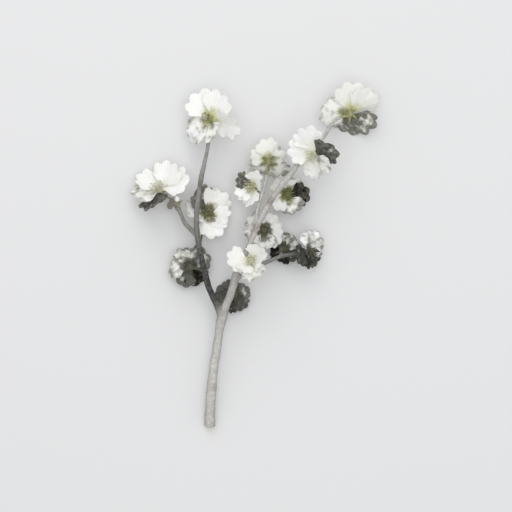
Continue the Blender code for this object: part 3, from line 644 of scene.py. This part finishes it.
def petal_solid(petal, toward, phase, dice):
    """One petal in the bloom's frame, and at each of its points: place across, place along, painted shade and
    side.

    The blade turns about its length by an angle that grows evenly along it as far as TWIST_REACH of it."""
    turn, pitch, length, painted_petal_shade, twist = petal
    middle = petal_surface(length, np.clip(pitch / 90.0, *PETAL_CURLS), phase, dice)
    share = np.linspace(0.0, 1.0, PETAL_ROWS)[:, None]
    verts, faces = blade_solid(middle, PETAL_THICK * (1 - EDGE_THINNING * share**3))
    spin = np.radians(PETAL_TWIST + twist * np.clip(verts[:, 0] / (TWIST_REACH * length), 0.0, 1.0))
    across = verts[:, 1] * np.cos(spin) - verts[:, 2] * np.sin(spin)
    up = verts[:, 1] * np.sin(spin) + verts[:, 2] * np.cos(spin)
    turned = np.stack([verts[:, 0], across, up], axis=1)
    placed = set_on_bloom(turned, turn - toward, pitch, CLAW_OUT, CLAW_HIGH)
    grid = np.broadcast_arrays(PETAL_ANGLES / PETAL_SPREAD * 0.5 + 0.5, share, float(painted_petal_shade))
    one_side = np.stack(grid, axis=-1).reshape(-1, 3)
    back = np.repeat([0.0, 1.0], len(one_side))[:, None]
    return placed, faces, np.hstack([np.vstack([one_side, one_side]), back])


# A petal is a thin wet tissue with a satin skin: white, a little see-through, yellow-green where it narrows
# to the claw, slightly greener behind, with painted shade on its underside. Its veins are drawn fewer and
# wider than real ones, so that they show as a fan.
CLOUD_SIZE = 8.333
SHADE_PATCH_SIZE = 4.0
MOTTLE_SIZE = 2.381
VEINS = 17
VEIN_RELIEF = 0.08

petal_skin, tree, shader = new_material("pear_petal", {
    "Subsurface Weight": 0.3, "Subsurface Scale": 0.6 * MM, "Subsurface Radius": (1.0, 1.0, 0.8),
    "Specular IOR Level": 0.22})
petal_facts = add_node(tree, "Attribute", attribute_name="petal")
across_petal, along_petal, painted_petal_shade = add_node(tree, "SeparateColor", petal_facts).outputs
bloom_facts = add_node(tree, "Attribute", attribute_name="bloom")
throat, heart_shade, shade_blackness = add_node(tree, "SeparateColor", bloom_facts).outputs
object_place = add_node(tree, "TexCoord").outputs["Object"]
cloud = add_node(tree, "TexNoise", object_place, 1 / (CLOUD_SIZE * MM), 3.0)
wobble = add_node(tree, "Math", cloud, 0.05, operation="MULTIPLY")
vein_place = add_node(tree, "Math", across_petal, wobble, operation="ADD")
vein_turns = add_node(tree, "Math", vein_place, 2 * math.pi * VEINS, operation="MULTIPLY")
vein_wave = add_node(tree, "Math", vein_turns, operation="SINE")
vein_share = add_node(tree, "MapRange", vein_wave, 0.55, 1.0, 0.0, 0.45)
cloud_share = add_node(tree, "MapRange", cloud, 0.4, 0.68)
claw_share = add_node(tree, "MapRange", along_petal, 0.36, 0.08)
throat_share = add_node(tree, "Math", claw_share, throat, operation="MULTIPLY")
back_tint_and_shade = add_node(tree, "Math", petal_facts.outputs["Alpha"], 0.5, operation="MULTIPLY")
# Coats over fresh white: soft clouds, veins, the greener back with painted shade, and the yellow-green claw
fresh = colour("#F8F8F6")
for share, coat in (
        (cloud_share, "#F1F0E8"), (vein_share, "#E3E4D8"),
        (back_tint_and_shade, "#E6E7DC"), (throat_share, "#C3C47E")):
    fresh = add_node(tree, "Mix", share, fresh, colour(coat), data_type="RGBA")
# A petal's painted shade is as deep as its own level, and near the claw as deep as the shade painted in the
# bloom's heart. It spreads from the claw and the margin in patches, and the deeper it is, the more of the
# petal it covers
# Painted shade in the bloom's heart, strongest at the claw
heart_shade_reach = add_node(tree, "MapRange", along_petal, 0.5, 0.1, 0.0, 0.75)
heart_shade_near_claw = add_node(tree, "Math", heart_shade_reach, heart_shade, operation="MULTIPLY")
painted_petal_darkness = add_node(tree, "Math", painted_petal_shade, heart_shade_near_claw, operation="MAXIMUM")
from_middle = add_node(tree, "Math", along_petal, 0.55, operation="SUBTRACT")
off_middle = add_node(tree, "Math", from_middle, operation="ABSOLUTE")
end_push = add_node(tree, "MapRange", off_middle, 0.05, 0.42, -0.22, 0.14)
patch = add_node(tree, "TexNoise", object_place, 1 / (SHADE_PATCH_SIZE * MM), 5.0)
patch_push = add_node(tree, "MapRange", patch, 0.3, 0.7, -0.42, 0.42)
push = add_node(tree, "Math", patch_push, end_push, operation="ADD")
painted_darkness_start = add_node(tree, "MapRange", painted_petal_darkness, 0.0, 1.0, -0.08, 1.22)
pushed = add_node(tree, "Math", painted_darkness_start, push, operation="ADD")
patched = add_node(tree, "MapRange", pushed, 0.12, 0.6)
deepened = add_node(tree, "Math", painted_petal_darkness, 0.35, operation="POWER")
painted_shade_patches = add_node(tree, "Math", patched, deepened, operation="MULTIPLY", use_clamp=True)
# The painted shade is near-black at the claw and mottled with grey-olive further out, unless the bloom's
# painted shade is black
mottle = add_node(tree, "TexNoise", object_place, 1 / (MOTTLE_SIZE * MM), 4.0, 0.7)
mottle_share = add_node(tree, "MapRange", mottle, 0.4, 0.64)
outward = add_node(tree, "MapRange", along_petal, 0.0, 1.0, 0.35, 1.0)
mottled_outward = add_node(tree, "Math", outward, mottle_share, operation="MULTIPLY")
shade_not_black = add_node(tree, "MapRange", shade_blackness, 0.0, 1.0, 1.0, 0.22)
paleness = add_node(tree, "Math", mottled_outward, shade_not_black, operation="MULTIPLY")
painted_shade_colour = add_node(tree, "Mix", paleness, colour("#080805"), colour("#807D6F"), data_type="RGBA")
fill(shader.inputs["Base Color"], add_node(tree, "Mix", painted_shade_patches, fresh, painted_shade_colour, data_type="RGBA"))
fill(shader.inputs["Roughness"], add_node(tree, "MapRange", painted_shade_patches, 0.0, 1.0, 0.55, 0.9))
fill(shader.inputs["Normal"], add_node(tree, "Bump", 0.35, VEIN_RELIEF * MM, None, vein_wave))

bloom_chances = [random.Random(BLOOM_SEED + number) for number in range(len(BLOOMS))]
for number, (name, bloom) in enumerate(BLOOMS.items()):
    chance, dice = bloom_chances[number], random.Random(RUFFLE_SEED + number)
    parts = [
        petal_solid(petal, bloom["toward"], chance.uniform(0.0, 2 * math.pi), dice)
        for petal in bloom["petals"]]
    verts, faces = joined([part[:2] for part in parts])
    verts = verts @ bloom_axes(bloom["lean"], bloom["toward"]) + bloom["middle"]
    verts[:, 2] = np.maximum(verts[:, 2], FLOOR_GAP)
    values = {
        "petal": np.vstack([part[2] for part in parts]),
        "bloom": np.tile((bloom["throat"], bloom["heart_shade"], bloom.get("shade_blackness", 0.0)), (len(verts), 1))}
    petals = piece_of(name + "_five_petals", verts, faces, values)
    petals.data.materials.append(petal_skin)
    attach(petals, "root")
    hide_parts(name + "_petals")


# Calyx and stalk
# Under each bloom a fleshy green cup with five pointed sepals bent back, at the end of a slender stalk that
# springs from the spur. Stalk, cup and sepals grew as one, olive green going brown at the tips, with short
# pale hairs.

STALK_SEED = 300
HAIR_SEED = 900
STALK_RADIUS = 0.62
STALK_FLARE = 0.28
STALK_SWELLING = 0.06
STALK_WAVES = 9
STALK_SIDES = 12
STALK_POINTS = 22
STALK_SINK = 0.4
STALK_HOLD = 0.7
CUP_FOOT = 3.4
CUP_SIDES = 40
CUP_RIBS = 0.05
RIBS_TOP = -0.3
SEPALS = 5
SEPAL_ROWS = 13
SEPAL_COLUMNS = 9
SEPAL_LENGTH = 5.2
SEPAL_WIDTH = 1.9
SEPAL_TIP = 0.12
SEPAL_TAPER = 1.7
SEPAL_THICK = 0.34
SEPAL_MIDRIB = 0.6
MIDRIB_REACH = 0.25
SEPAL_THINNING = 0.45
SEPAL_KEEL = 0.25
SEPAL_CURL = 0.125
SEPAL_ROOT_OUT = 0.9
SEPAL_ROOT_HIGH = -1.37
SEPAL_PITCHES = (-70, -12)
SEPAL_DROP = 30
SEPAL_STRAYS = (-6, 2)
PETALS_NEAR = 70
HAIRS = 130
HAIR_SIDES = 3
HAIR_LENGTH = 0.6
HAIR_LENGTHS = (0.6, 1.2)
HAIR_RADIUS = 0.045
HAIR_POINT = 0.2
HAIR_SINK = 0.05
HAIR_STRAY = 0.25
HAIR_PALENESS = 0.6
# Share of the shade painted in a bloom's heart that is painted on its calyx and stamens
HEART_SHADE_DEPTH = 0.85
# Profile of the cup as (height, radius), from the stalk up and over the rim to the floor inside
CUP_PROFILE = [
    (-4.0, 0.5), (-3.8, 0.8), (-3.4, 1.05), (-2.9, 1.45), (-2.4, 1.75), (-1.8, 1.95), (-1.2, 2.0),
    (-0.6, 2.08), (-0.2, 2.2), (0.05, 2.1), (0.05, 1.8), (-0.1, 1.3), (-0.2, 0.6), (-0.2, 0.1)]

# Where each stalk starts if not on a spur, the way it starts out, and how far it holds that way before it
# bends
STALKS = {
    "tip_left": dict(start=(-0.2, 172.8, 22.0), heading=(0.12, 0.98, 0.0), bend=4.0),
    "twig_left": dict(start=(-22.9, 137.2, 8.4), heading=(-0.7, 0.5, -0.6), bend=2.0),
    "limb_left_upper": dict(bend=7.0), "limb_left_lower": dict(bend=2.5), "fork": dict(bend=1.2),
    "limb_right_front": dict(bend=1.4), "limb_right_back": dict(bend=7.0), "limb_right_upper": dict(bend=7.0),
    "limb_right_high": dict(bend=2.4),
    "tip_right": dict(start=(78.6, 186.4, 17.2), heading=(0.9, 0.2, 0.2), bend=2.0),
    "side_inner": dict(bend=1.2),
    "side_end": dict(start=(51.8, 104.3, 13.0), heading=(0.9, 0.1, -0.3), bend=1.0),
    "twig_middle": dict(start=(34.6, 151.6, 16.6), heading=(0.05, 0.97, 0.1), bend=1.4),
    "twig_middle_hanging": dict(bend=3.0),
    "bud": dict(bend=1.0),
}


def stalk_path(name, foot, axis):
    """Cubic curve from inside the spur's end to the cup's foot, which leaves both along their own axes."""
    stalk = STALKS[name]
    if name in SPURS:
        root, start = (np.array(point) for point in SPURS[name])
        heading = unit(start - root)
    else:
        start, heading = np.array(stalk["start"]), unit(stalk["heading"])
    start = start - heading * STALK_SINK
    hold_start, hold_end = start + heading * (stalk["bend"] + STALK_HOLD), foot - axis * stalk["bend"]
    share = np.linspace(0.0, 1.0, STALK_POINTS)[:, None]
    rest = 1 - share
    held = 3 * rest**2 * share * hold_start + 3 * rest * share**2 * hold_end
    return rest**3 * start + held + share**3 * foot


def stalk_sleeve(path, chance):
    """The stalk: slightly thicker at both ends, with slow swellings, run on into the cup."""
    share = np.linspace(0.0, 1.0, len(path))
    swelling = STALK_SWELLING * np.sin(STALK_WAVES * share + chance.uniform(*PHASES))
    radius = STALK_RADIUS * (1 + STALK_FLARE * (2 * share - 1)**4 + swelling)
    return sleeves(path[None], radius[None], STALK_SIDES)


def cup_solid(profile, first=0.0):
    """A profile of heights and radii turned about the axis and closed at both ends. Below RIBS_TOP its radius
    swells by CUP_RIBS times the cosine of five times the angle from the first rib."""
    high, radius = np.transpose(profile)[..., None]
    angle = full_turn(CUP_SIDES)
    radius = radius * (1 + CUP_RIBS * np.cos(5 * (angle - first)) * (high < RIBS_TOP))
    verts = np.stack(np.broadcast_arrays(radius * np.cos(angle), radius * np.sin(angle), high), axis=-1)
    return verts.reshape(-1, 3), sleeve_faces(1, len(profile), CUP_SIDES)


def sepal_solid(turn, pitch, length, root_high):
    """One sepal, and how far along it each of its points lies. Its blade narrows to the tip by a power of the
    way along, has a raised midrib, is keeled by the square across it and curls back by the cube along it."""
    share = np.linspace(0.0, 1.0, SEPAL_ROWS)[:, None]
    across = np.linspace(-1.0, 1.0, SEPAL_COLUMNS)
    off = (SEPAL_WIDTH / 2 * (1 - share**SEPAL_TAPER) + SEPAL_TIP) * across
    high = SEPAL_KEEL * off**2 - SEPAL_CURL * length * share**3
    middle = np.stack(np.broadcast_arrays(length * share, off, high), axis=-1)
    ribbed = 1 + SEPAL_MIDRIB * np.exp(-(across / MIDRIB_REACH)**2)
    verts, faces = blade_solid(middle, SEPAL_THICK * (ribbed - SEPAL_THINNING * share))
    placed = set_on_bloom(verts, turn, pitch, SEPAL_ROOT_OUT, root_high)
    return placed, faces, np.tile(np.repeat(share, SEPAL_COLUMNS), 2)


def hair_sleeves(verts, faces, dice):
    """Short stiff hairs: slim three-sided spikes that stand on the middles of faces drawn at random."""
    quads = np.array([face for face in faces if len(face) == 4])
    corner = verts[quads[dice.choice(len(quads), HAIRS)]]
    way = unit(np.cross(corner[:, 2] - corner[:, 0], corner[:, 3] - corner[:, 1]))
    way = unit(way + dice.normal(0.0, HAIR_STRAY, way.shape))
    length = HAIR_LENGTH * dice.uniform(*HAIR_LENGTHS, (HAIRS, 1))
    root = corner.mean(axis=1) - way * HAIR_SINK
    paths = np.stack([root, root + way * length], axis=1)
    return sleeves(paths, np.tile([HAIR_RADIUS, HAIR_RADIUS * HAIR_POINT], (HAIRS, 1)), HAIR_SIDES)


# A pear's calyx and stalk are soft and matt: olive green flecked with brown, brown to the sepal tips, with
# pale hairs. Hairs and flecks are drawn coarser than real ones, so that they show.
FLECK_SIZE = 1.4286
FLECK_RELIEF = 0.1

calyx_skin, tree, shader = new_material("hairy_green_calyx", {"Roughness": 0.7, "Sheen Weight": 0.25})
calyx_facts = add_node(tree, "Attribute", attribute_name="calyx")
toward_tip, heart_shade_on_calyx, on_hair = add_node(tree, "SeparateColor", calyx_facts).outputs
object_place = add_node(tree, "TexCoord").outputs["Object"]
flecks = add_node(tree, "TexNoise", object_place, 1 / (FLECK_SIZE * MM), 3.0)
fleck_share = add_node(tree, "MapRange", flecks, 0.4, 0.7)
tip_share = add_node(tree, "MapRange", toward_tip, 0.45, 1.0, 0.0, 0.8)
# Coats over olive green: flecks, brown tips, painted shade from a bloom's heart, and pale hairs
paint = colour("#A2A574")
for share, coat in (
        (fleck_share, "#87835A"), (tip_share, "#7A6247"), (heart_shade_on_calyx, "#1F1E12"), (on_hair, "#D5D3BF")):
    paint = add_node(tree, "Mix", share, paint, colour(coat), data_type="RGBA")
fill(shader.inputs["Base Color"], paint)
fill(shader.inputs["Normal"], add_node(tree, "Bump", 0.5, FLECK_RELIEF * MM, None, flecks))


def add_calyx(name, parts, heart_shade, axes, middle, path, number):
    """The calyx piece: stalk in the branch's frame, cup and sepals put there, and hairs on all of them.

    A part is its points, its faces, and how far along a sepal each of its points lies."""
    stalk = stalk_sleeve(path, random.Random(STALK_SEED + number))
    verts, faces = joined([stalk] + [(points @ axes + middle, rows) for points, rows, along in parts])
    hairs = hair_sleeves(verts, faces, np.random.default_rng(HAIR_SEED + number))
    along_sepal = np.concatenate([
        np.zeros(len(stalk[0])), *[along for points, rows, along in parts], np.zeros(len(hairs[0]))])
    paleness = HAIR_PALENESS * np.repeat([0.0, 1.0], [len(verts), len(hairs[0])])
    verts, faces = joined([(verts, faces), hairs])
    verts[:, 2] = np.maximum(verts[:, 2], FLOOR_GAP)
    # Values: way along a sepal, painted shade from the bloom's heart, paleness of hairs
    values = np.stack(np.broadcast_arrays(along_sepal, heart_shade * HEART_SHADE_DEPTH, paleness, 1.0), axis=1)
    calyx = piece_of(name + "_stalk_and_calyx", verts, faces, {"calyx": values})
    calyx.data.materials.append(calyx_skin)
    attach(calyx, "root")
    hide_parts(name + "_calyx")


for number, (name, bloom) in enumerate(BLOOMS.items()):
    axes, middle = bloom_axes(bloom["lean"], bloom["toward"]), np.array(bloom["middle"])
    first = bloom["petals"][0][0] + 180.0 / SEPALS
    verts, faces = cup_solid(CUP_PROFILE, math.radians(first - bloom["toward"]))
    parts = [(verts, faces, np.zeros(len(verts)))]
    for sepal_turn in first + np.degrees(full_turn(SEPALS)):
        # A sepal hangs below the lowest of the petals over it
        lowest = min(
            pitch - abs(twist) / 2 for turn, pitch, length, painted_petal_shade, twist in bloom["petals"]
            if abs((turn - sepal_turn + 180) % 360 - 180) < PETALS_NEAR)
        stray = bloom_chances[number].uniform(*SEPAL_STRAYS)
        sepal_pitch = np.clip(lowest - SEPAL_DROP + stray, *SEPAL_PITCHES)
        parts.append(sepal_solid(sepal_turn - bloom["toward"], sepal_pitch, SEPAL_LENGTH, SEPAL_ROOT_HIGH))
    path = stalk_path(name, middle - axes[2] * CUP_FOOT, axes[2])
    add_calyx(name, parts, bloom["heart_shade"], axes, middle, path, number)


# Stamens and styles
# In the cup lies a ring of green nectar tissue. About twenty pale filaments with straw to olive-brown
# anthers stand round its edge, and five greenish styles in its middle.

STAMEN_SEED = 40
FILAMENTS = 20
FILAMENT_POINTS = 6
FILAMENT_SIDES = 4
FILAMENT_RADIUS = 0.17
FILAMENT_TAPER = (1.2, 0.8)
FILAMENT_LENGTH = 5.6
FILAMENT_LENGTHS = (0.62, 1.0)
FILAMENT_TILTS = (4.0, 34.0)
FILAMENT_RING = 1.5
FILAMENT_ROOT = 0.85
FILAMENT_STRAY = 0.3
FILAMENT_PALENESS = (0.2, 1.0)
ANTHER_LENGTH = 1.25
ANTHER_RADIUS = 0.42
ANTHER_STRAY = 0.25
# An anther's radius along it, and round it, where two lobes stand out
ANTHER_SWELL = (0.45, 0.95, 1.0, 0.9, 0.35)
ANTHER_LOBES = (1.0, 0.72, 0.72, 1.0, 0.72, 0.72)
STYLES = 5
STYLE_SIDES = 6
STYLE_LENGTH = 4.4
STYLE_RADIUS = 0.17
STYLE_SWELL = (1.2, 1, 1, 1, 1, 1, 1.2, 1.9)
STYLE_TILTS = (2.0, 12.0)
STYLE_RING = 0.3
STYLE_ROOT = 0.8
STYLE_TURN = 0.6
STYLE_PALENESS = (0.1, 0.6)
SHED_POWER = 0.8
LEAN_EARLY = 1.35
# Profile of the nectar ring as (height, radius), from its underside over its edge to its middle
DISC_PROFILE = [
    (0.1, 0.1), (0.1, 1.2), (0.15, 1.75), (0.4, 1.95), (0.75, 1.9), (1.0, 1.65), (1.05, 1.35), (0.9, 1.05),
    (0.85, 0.7), (0.95, 0.35), (1.0, 0.08)]


def leaning_paths(root_out, root_high, length, tilts, turns, points):
    """Paths of a ring of threads. Each rises evenly from its root and leans out, more at first than at its
    tip: by LEAN_EARLY times the share along it, less (LEAN_EARLY - 1) times that share squared."""
    share = np.linspace(0.0, 1.0, points)
    out = root_out + np.outer(length * np.sin(tilts), LEAN_EARLY * share - (LEAN_EARLY - 1) * share**2)
    high = root_high + np.outer(length * np.cos(tilts), share)
    return np.stack([out * np.cos(turns)[:, None], out * np.sin(turns)[:, None], high], axis=-1)


def stamen_values(part, anther, paleness, shed):
    """At each point of a part: whether it is anther, how pale it is, and how far its pollen is shed."""
    return np.stack([np.broadcast_to(value, len(part[0])) for value in (anther, paleness, shed)], axis=1)


# Filaments and styles are moist and pale; anthers are dry and dull, straw when fresh and olive-brown when
# shed. Pollen is drawn as specks far coarser than its grains, so that it shows.
POLLEN_SIZE = 0.4

stamen_skin, tree, shader = new_material("stamens_and_styles", {
    "Roughness": 0.5, "Subsurface Weight": 0.1, "Subsurface Scale": 0.5 * MM})
stamen_facts = add_node(tree, "Attribute", attribute_name="stamen")
on_anther, pale, shed = add_node(tree, "SeparateColor", stamen_facts).outputs
bloom_facts = add_node(tree, "Attribute", attribute_name="bloom")
throat, heart_shade, shade_blackness = add_node(tree, "SeparateColor", bloom_facts).outputs
object_place = add_node(tree, "TexCoord").outputs["Object"]
pollen = add_node(tree, "TexNoise", object_place, 1 / (POLLEN_SIZE * MM), 2.0)
pollen_share = add_node(tree, "MapRange", pollen, 0.45, 0.75, 0.0, 0.4)
pallor_share = add_node(tree, "MapRange", throat, 0.9, 0.2, 0.0, 0.8)
heart_shade_share = add_node(tree, "Math", heart_shade, HEART_SHADE_DEPTH, operation="MULTIPLY")
thread = add_node(tree, "Mix", pale, colour("#A9AB62"), colour("#E0E1BC"), data_type="RGBA")
anther = add_node(tree, "Mix", shed, colour("#C2B677"), colour("#57502F"), data_type="RGBA")
# Coats over threads and anthers: pollen, pallor where the throat is hardly green, and the heart's painted
# shade
paint = add_node(tree, "Mix", on_anther, thread, anther, data_type="RGBA")
for share, coat in ((pollen_share, "#8C8A48"), (pallor_share, "#E4E4D2"), (heart_shade_share, "#2A2918")):
    paint = add_node(tree, "Mix", share, paint, colour(coat), data_type="RGBA")
fill(shader.inputs["Base Color"], paint)

for number, (name, bloom) in enumerate(BLOOMS.items()):
    dice = np.random.default_rng(STAMEN_SEED + number)
    places = np.arange(FILAMENTS) + dice.uniform(-FILAMENT_STRAY, FILAMENT_STRAY, FILAMENTS)
    tilts = np.radians(dice.uniform(*FILAMENT_TILTS, FILAMENTS))
    length = FILAMENT_LENGTH * dice.uniform(*FILAMENT_LENGTHS, FILAMENTS)
    turns = places * 2 * math.pi / FILAMENTS
    paths = leaning_paths(FILAMENT_RING, FILAMENT_ROOT, length, tilts, turns, FILAMENT_POINTS)
    taper = FILAMENT_RADIUS * np.linspace(*FILAMENT_TAPER, FILAMENT_POINTS)
    threads = sleeves(paths, np.tile(taper, (FILAMENTS, 1)), FILAMENT_SIDES)
    heads = paths[:, -1]
    ways = unit(heads - paths[:, -2] + dice.normal(0.0, ANTHER_STRAY, heads.shape))
    share = np.linspace(-0.5, 0.5, len(ANTHER_SWELL))
    swell = np.outer(ANTHER_SWELL, ANTHER_LOBES) * ANTHER_RADIUS
    anthers = sleeves(
        heads[:, None] + share[None, :, None] * ANTHER_LENGTH * ways[:, None],
        np.broadcast_to(swell, (FILAMENTS, *swell.shape)), len(ANTHER_LOBES))
    tilts = np.radians(dice.uniform(*STYLE_TILTS, STYLES))
    turns = full_turn(STYLES) + STYLE_TURN
    paths = leaning_paths(STYLE_RING, STYLE_ROOT, STYLE_LENGTH, tilts, turns, len(STYLE_SWELL))
    styles = sleeves(paths, STYLE_RADIUS * np.tile(STYLE_SWELL, (STYLES, 1)), STYLE_SIDES)
    disc = cup_solid(DISC_PROFILE)
    paler = np.linspace(*FILAMENT_PALENESS, FILAMENT_POINTS)
    thread_paleness = np.tile(np.repeat(paler, FILAMENT_SIDES), FILAMENTS)
    paler = np.linspace(*STYLE_PALENESS, len(STYLE_SWELL))
    style_paleness = np.tile(np.repeat(paler, STYLE_SIDES), STYLES)
    shed = np.repeat(dice.uniform(0.0, 1.0, FILAMENTS)**SHED_POWER, swell.size)
    verts, faces = joined([disc, threads, anthers, styles])
    verts = verts @ bloom_axes(bloom["lean"], bloom["toward"]) + bloom["middle"]
    verts[:, 2] = np.maximum(verts[:, 2], FLOOR_GAP)
    values = {
        "stamen": np.vstack([
            stamen_values(disc, 0.0, 0.0, 0.0), stamen_values(threads, 0.0, thread_paleness, 0.0),
            stamen_values(anthers, 1.0, 0.0, shed), stamen_values(styles, 0.0, style_paleness, 0.0)]),
        "bloom": np.tile((bloom["throat"], bloom["heart_shade"], 0.0), (len(verts), 1))}
    stamens = piece_of(name + "_stamens_and_styles", verts, faces, values)
    stamens.data.materials.append(stamen_skin)
    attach(stamens, "root")
    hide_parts(name + "_stamens")


# Bud
# One flower still shut: five white petals wrapped round each other into a ball, in a small calyx of its own
# that holds it from below on a short stalk.

BUD_MIDDLE = np.array((-19.2, 137.1, 18.3))
BUD_WAY = (-0.15, 0.85, 0.5)
BUD_ROWS = 27
BUD_SIDES = 60
BUD_LENGTH = 4.4
BUD_RADIUS = 1.7
BUD_ROUNDING = 0.75
BUD_CAPS = (0.02, 0.98)
BUD_NARROWING = 0.12
BUD_LAPS = (0.94, 1.05)
BUD_SPIRAL = 0.9
BUD_ALONG = (0.35, 1.0)
# Painted shade in the heart of the bud's calyx
BUD_HEART_SHADE = 0.1
BUD_TOP = -2.5
BUD_FOOT = 1.6
BUD_SEPAL_LENGTH = 2.6
BUD_SEPAL_PITCH = 42
BUD_SEPAL_DROP = 0.5
# Profile of the bud's cup as (height over BUD_TOP, radius)
BUD_CUP = [
    (-2.1, 0.5), (-2.0, 0.85), (-1.4, 1.0), (-0.7, 1.25), (0.0, 1.45), (0.35, 1.4), (0.3, 1.1), (0.1, 0.2)]


def shut_petals():
    """The shut flower, and at each point a petal's values. Its radius is a power of the sine of the way along
    it, and steps where one petal's edge laps the next, along five spiral lines."""
    share = np.linspace(0.0, 1.0, BUD_ROWS)[:, None]
    angle = full_turn(BUD_SIDES)
    lap = (angle / (2 * math.pi) * 5 + BUD_SPIRAL * share) % 1.0
    swell = np.sin(math.pi * np.clip(share, *BUD_CAPS))**BUD_ROUNDING * (1 - BUD_NARROWING * share)
    radius = BUD_RADIUS * swell * np.interp(lap, (0.0, 1.0), BUD_LAPS)
    high = BUD_LENGTH * (share - 0.5)
    verts = np.stack(np.broadcast_arrays(radius * np.cos(angle), radius * np.sin(angle), high), axis=-1)
    along = np.interp(share, (0.0, 1.0), BUD_ALONG)
    values = np.stack(np.broadcast_arrays(lap, along, 0.0, 1.0), axis=-1)
    return verts.reshape(-1, 3), sleeve_faces(1, BUD_ROWS, BUD_SIDES), values.reshape(-1, 4)


bud_axis = unit(BUD_WAY)
bud_side = unit(np.cross(bud_axis, (0.0, 0.0, 1.0)))
bud_axes = np.array([bud_side, np.cross(bud_axis, bud_side), bud_axis])
verts, faces, values = shut_petals()
values = {"petal": values, "bloom": np.zeros((len(verts), 3))}
shut = piece_of("bud_shut_petals", verts @ bud_axes + BUD_MIDDLE, faces, values)
shut.data.materials.append(petal_skin)
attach(shut, "root")
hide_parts("bud_petals")

verts, faces = cup_solid(BUD_CUP + np.array((BUD_TOP, 0.0)))
parts = [(verts, faces, np.zeros(len(verts)))]
for turn in np.degrees(full_turn(SEPALS)):
    parts.append(sepal_solid(turn, BUD_SEPAL_PITCH, BUD_SEPAL_LENGTH, BUD_TOP - BUD_SEPAL_DROP))
path = stalk_path("bud", BUD_MIDDLE + bud_axis * (BUD_TOP - BUD_FOOT), bud_axis)
add_calyx("bud", parts, BUD_HEART_SHADE, bud_axes, BUD_MIDDLE, path, len(BLOOMS))


# Surface, light and camera
# The branch lies on a plain sheet of matt pale card. A wide soft lamp hangs above it and a weaker one
# beyond its tips, in an even pale room. A long lens looks straight down. Places are from the frame's
# origin.

FLOOR_HALF = 3000.0
ROOM_TINT = (0.97, 0.98, 1.0, 1.0)
ROOM_STRENGTH = 0.66
VIEW_MIDDLE = (0.8, -0.4)
VIEW_WIDTH = 307.2
VIEW_HIGH = 18.0
LENS = 200.0
SENSOR = 36.0

floor_corners = np.array([(-1, -1, 0), (1, -1, 0), (1, 1, 0), (-1, 1, 0)]) * FLOOR_HALF * MM
floor_mesh = bpy.data.meshes.new("pale_surface")
floor_mesh.from_pydata(floor_corners.tolist(), [], [(0, 1, 2, 3)])
floor = bpy.data.objects.new("pale_surface", floor_mesh)
bpy.context.scene.collection.objects.link(floor)
floor_skin, tree, shader = new_material("matt_pale_card", {"Base Color": colour("#DEDEDE"), "Roughness": 0.9})
floor_mesh.materials.append(floor_skin)


def add_lamp(name, place, size, watts, tint):
    """A square lamp that looks at the middle of the branch."""
    data = bpy.data.lights.new(name, "AREA")
    data.size, data.energy, data.color = size * MM, watts, tint
    lamp = bpy.data.objects.new(name, data)
    bpy.context.scene.collection.objects.link(lamp)
    lamp.location = np.multiply(place, MM)
    back = unit(place)
    lamp.rotation_euler = (math.acos(back[2]), 0.0, math.atan2(back[1], back[0]) + math.pi / 2)


add_lamp("lamp_beyond_tips", (-250.0, 900.0, 900.0), 900.0, 3.5, (1.0, 0.99, 0.98))
add_lamp("lamp_above", (100.0, 100.0, 1400.0), 1000.0, 7.4, (1.0, 1.0, 1.0))

world = bpy.data.worlds.new("room")
world.use_nodes = True
world.node_tree.nodes["Background"].inputs["Color"].default_value = ROOM_TINT
world.node_tree.nodes["Background"].inputs["Strength"].default_value = ROOM_STRENGTH
bpy.context.scene.world = world
bpy.context.scene.view_settings.view_transform = "Standard"

camera_data = bpy.data.cameras.new("view_from_above")
camera_data.lens, camera_data.sensor_width = LENS, SENSOR
camera_data.clip_start, camera_data.clip_end = 0.05, 10.0
camera = bpy.data.objects.new("view_from_above", camera_data)
bpy.context.scene.collection.objects.link(camera)
camera.location = np.multiply((*VIEW_MIDDLE, VIEW_HIGH + VIEW_WIDTH * LENS / SENSOR), MM)
bpy.context.scene.camera = camera
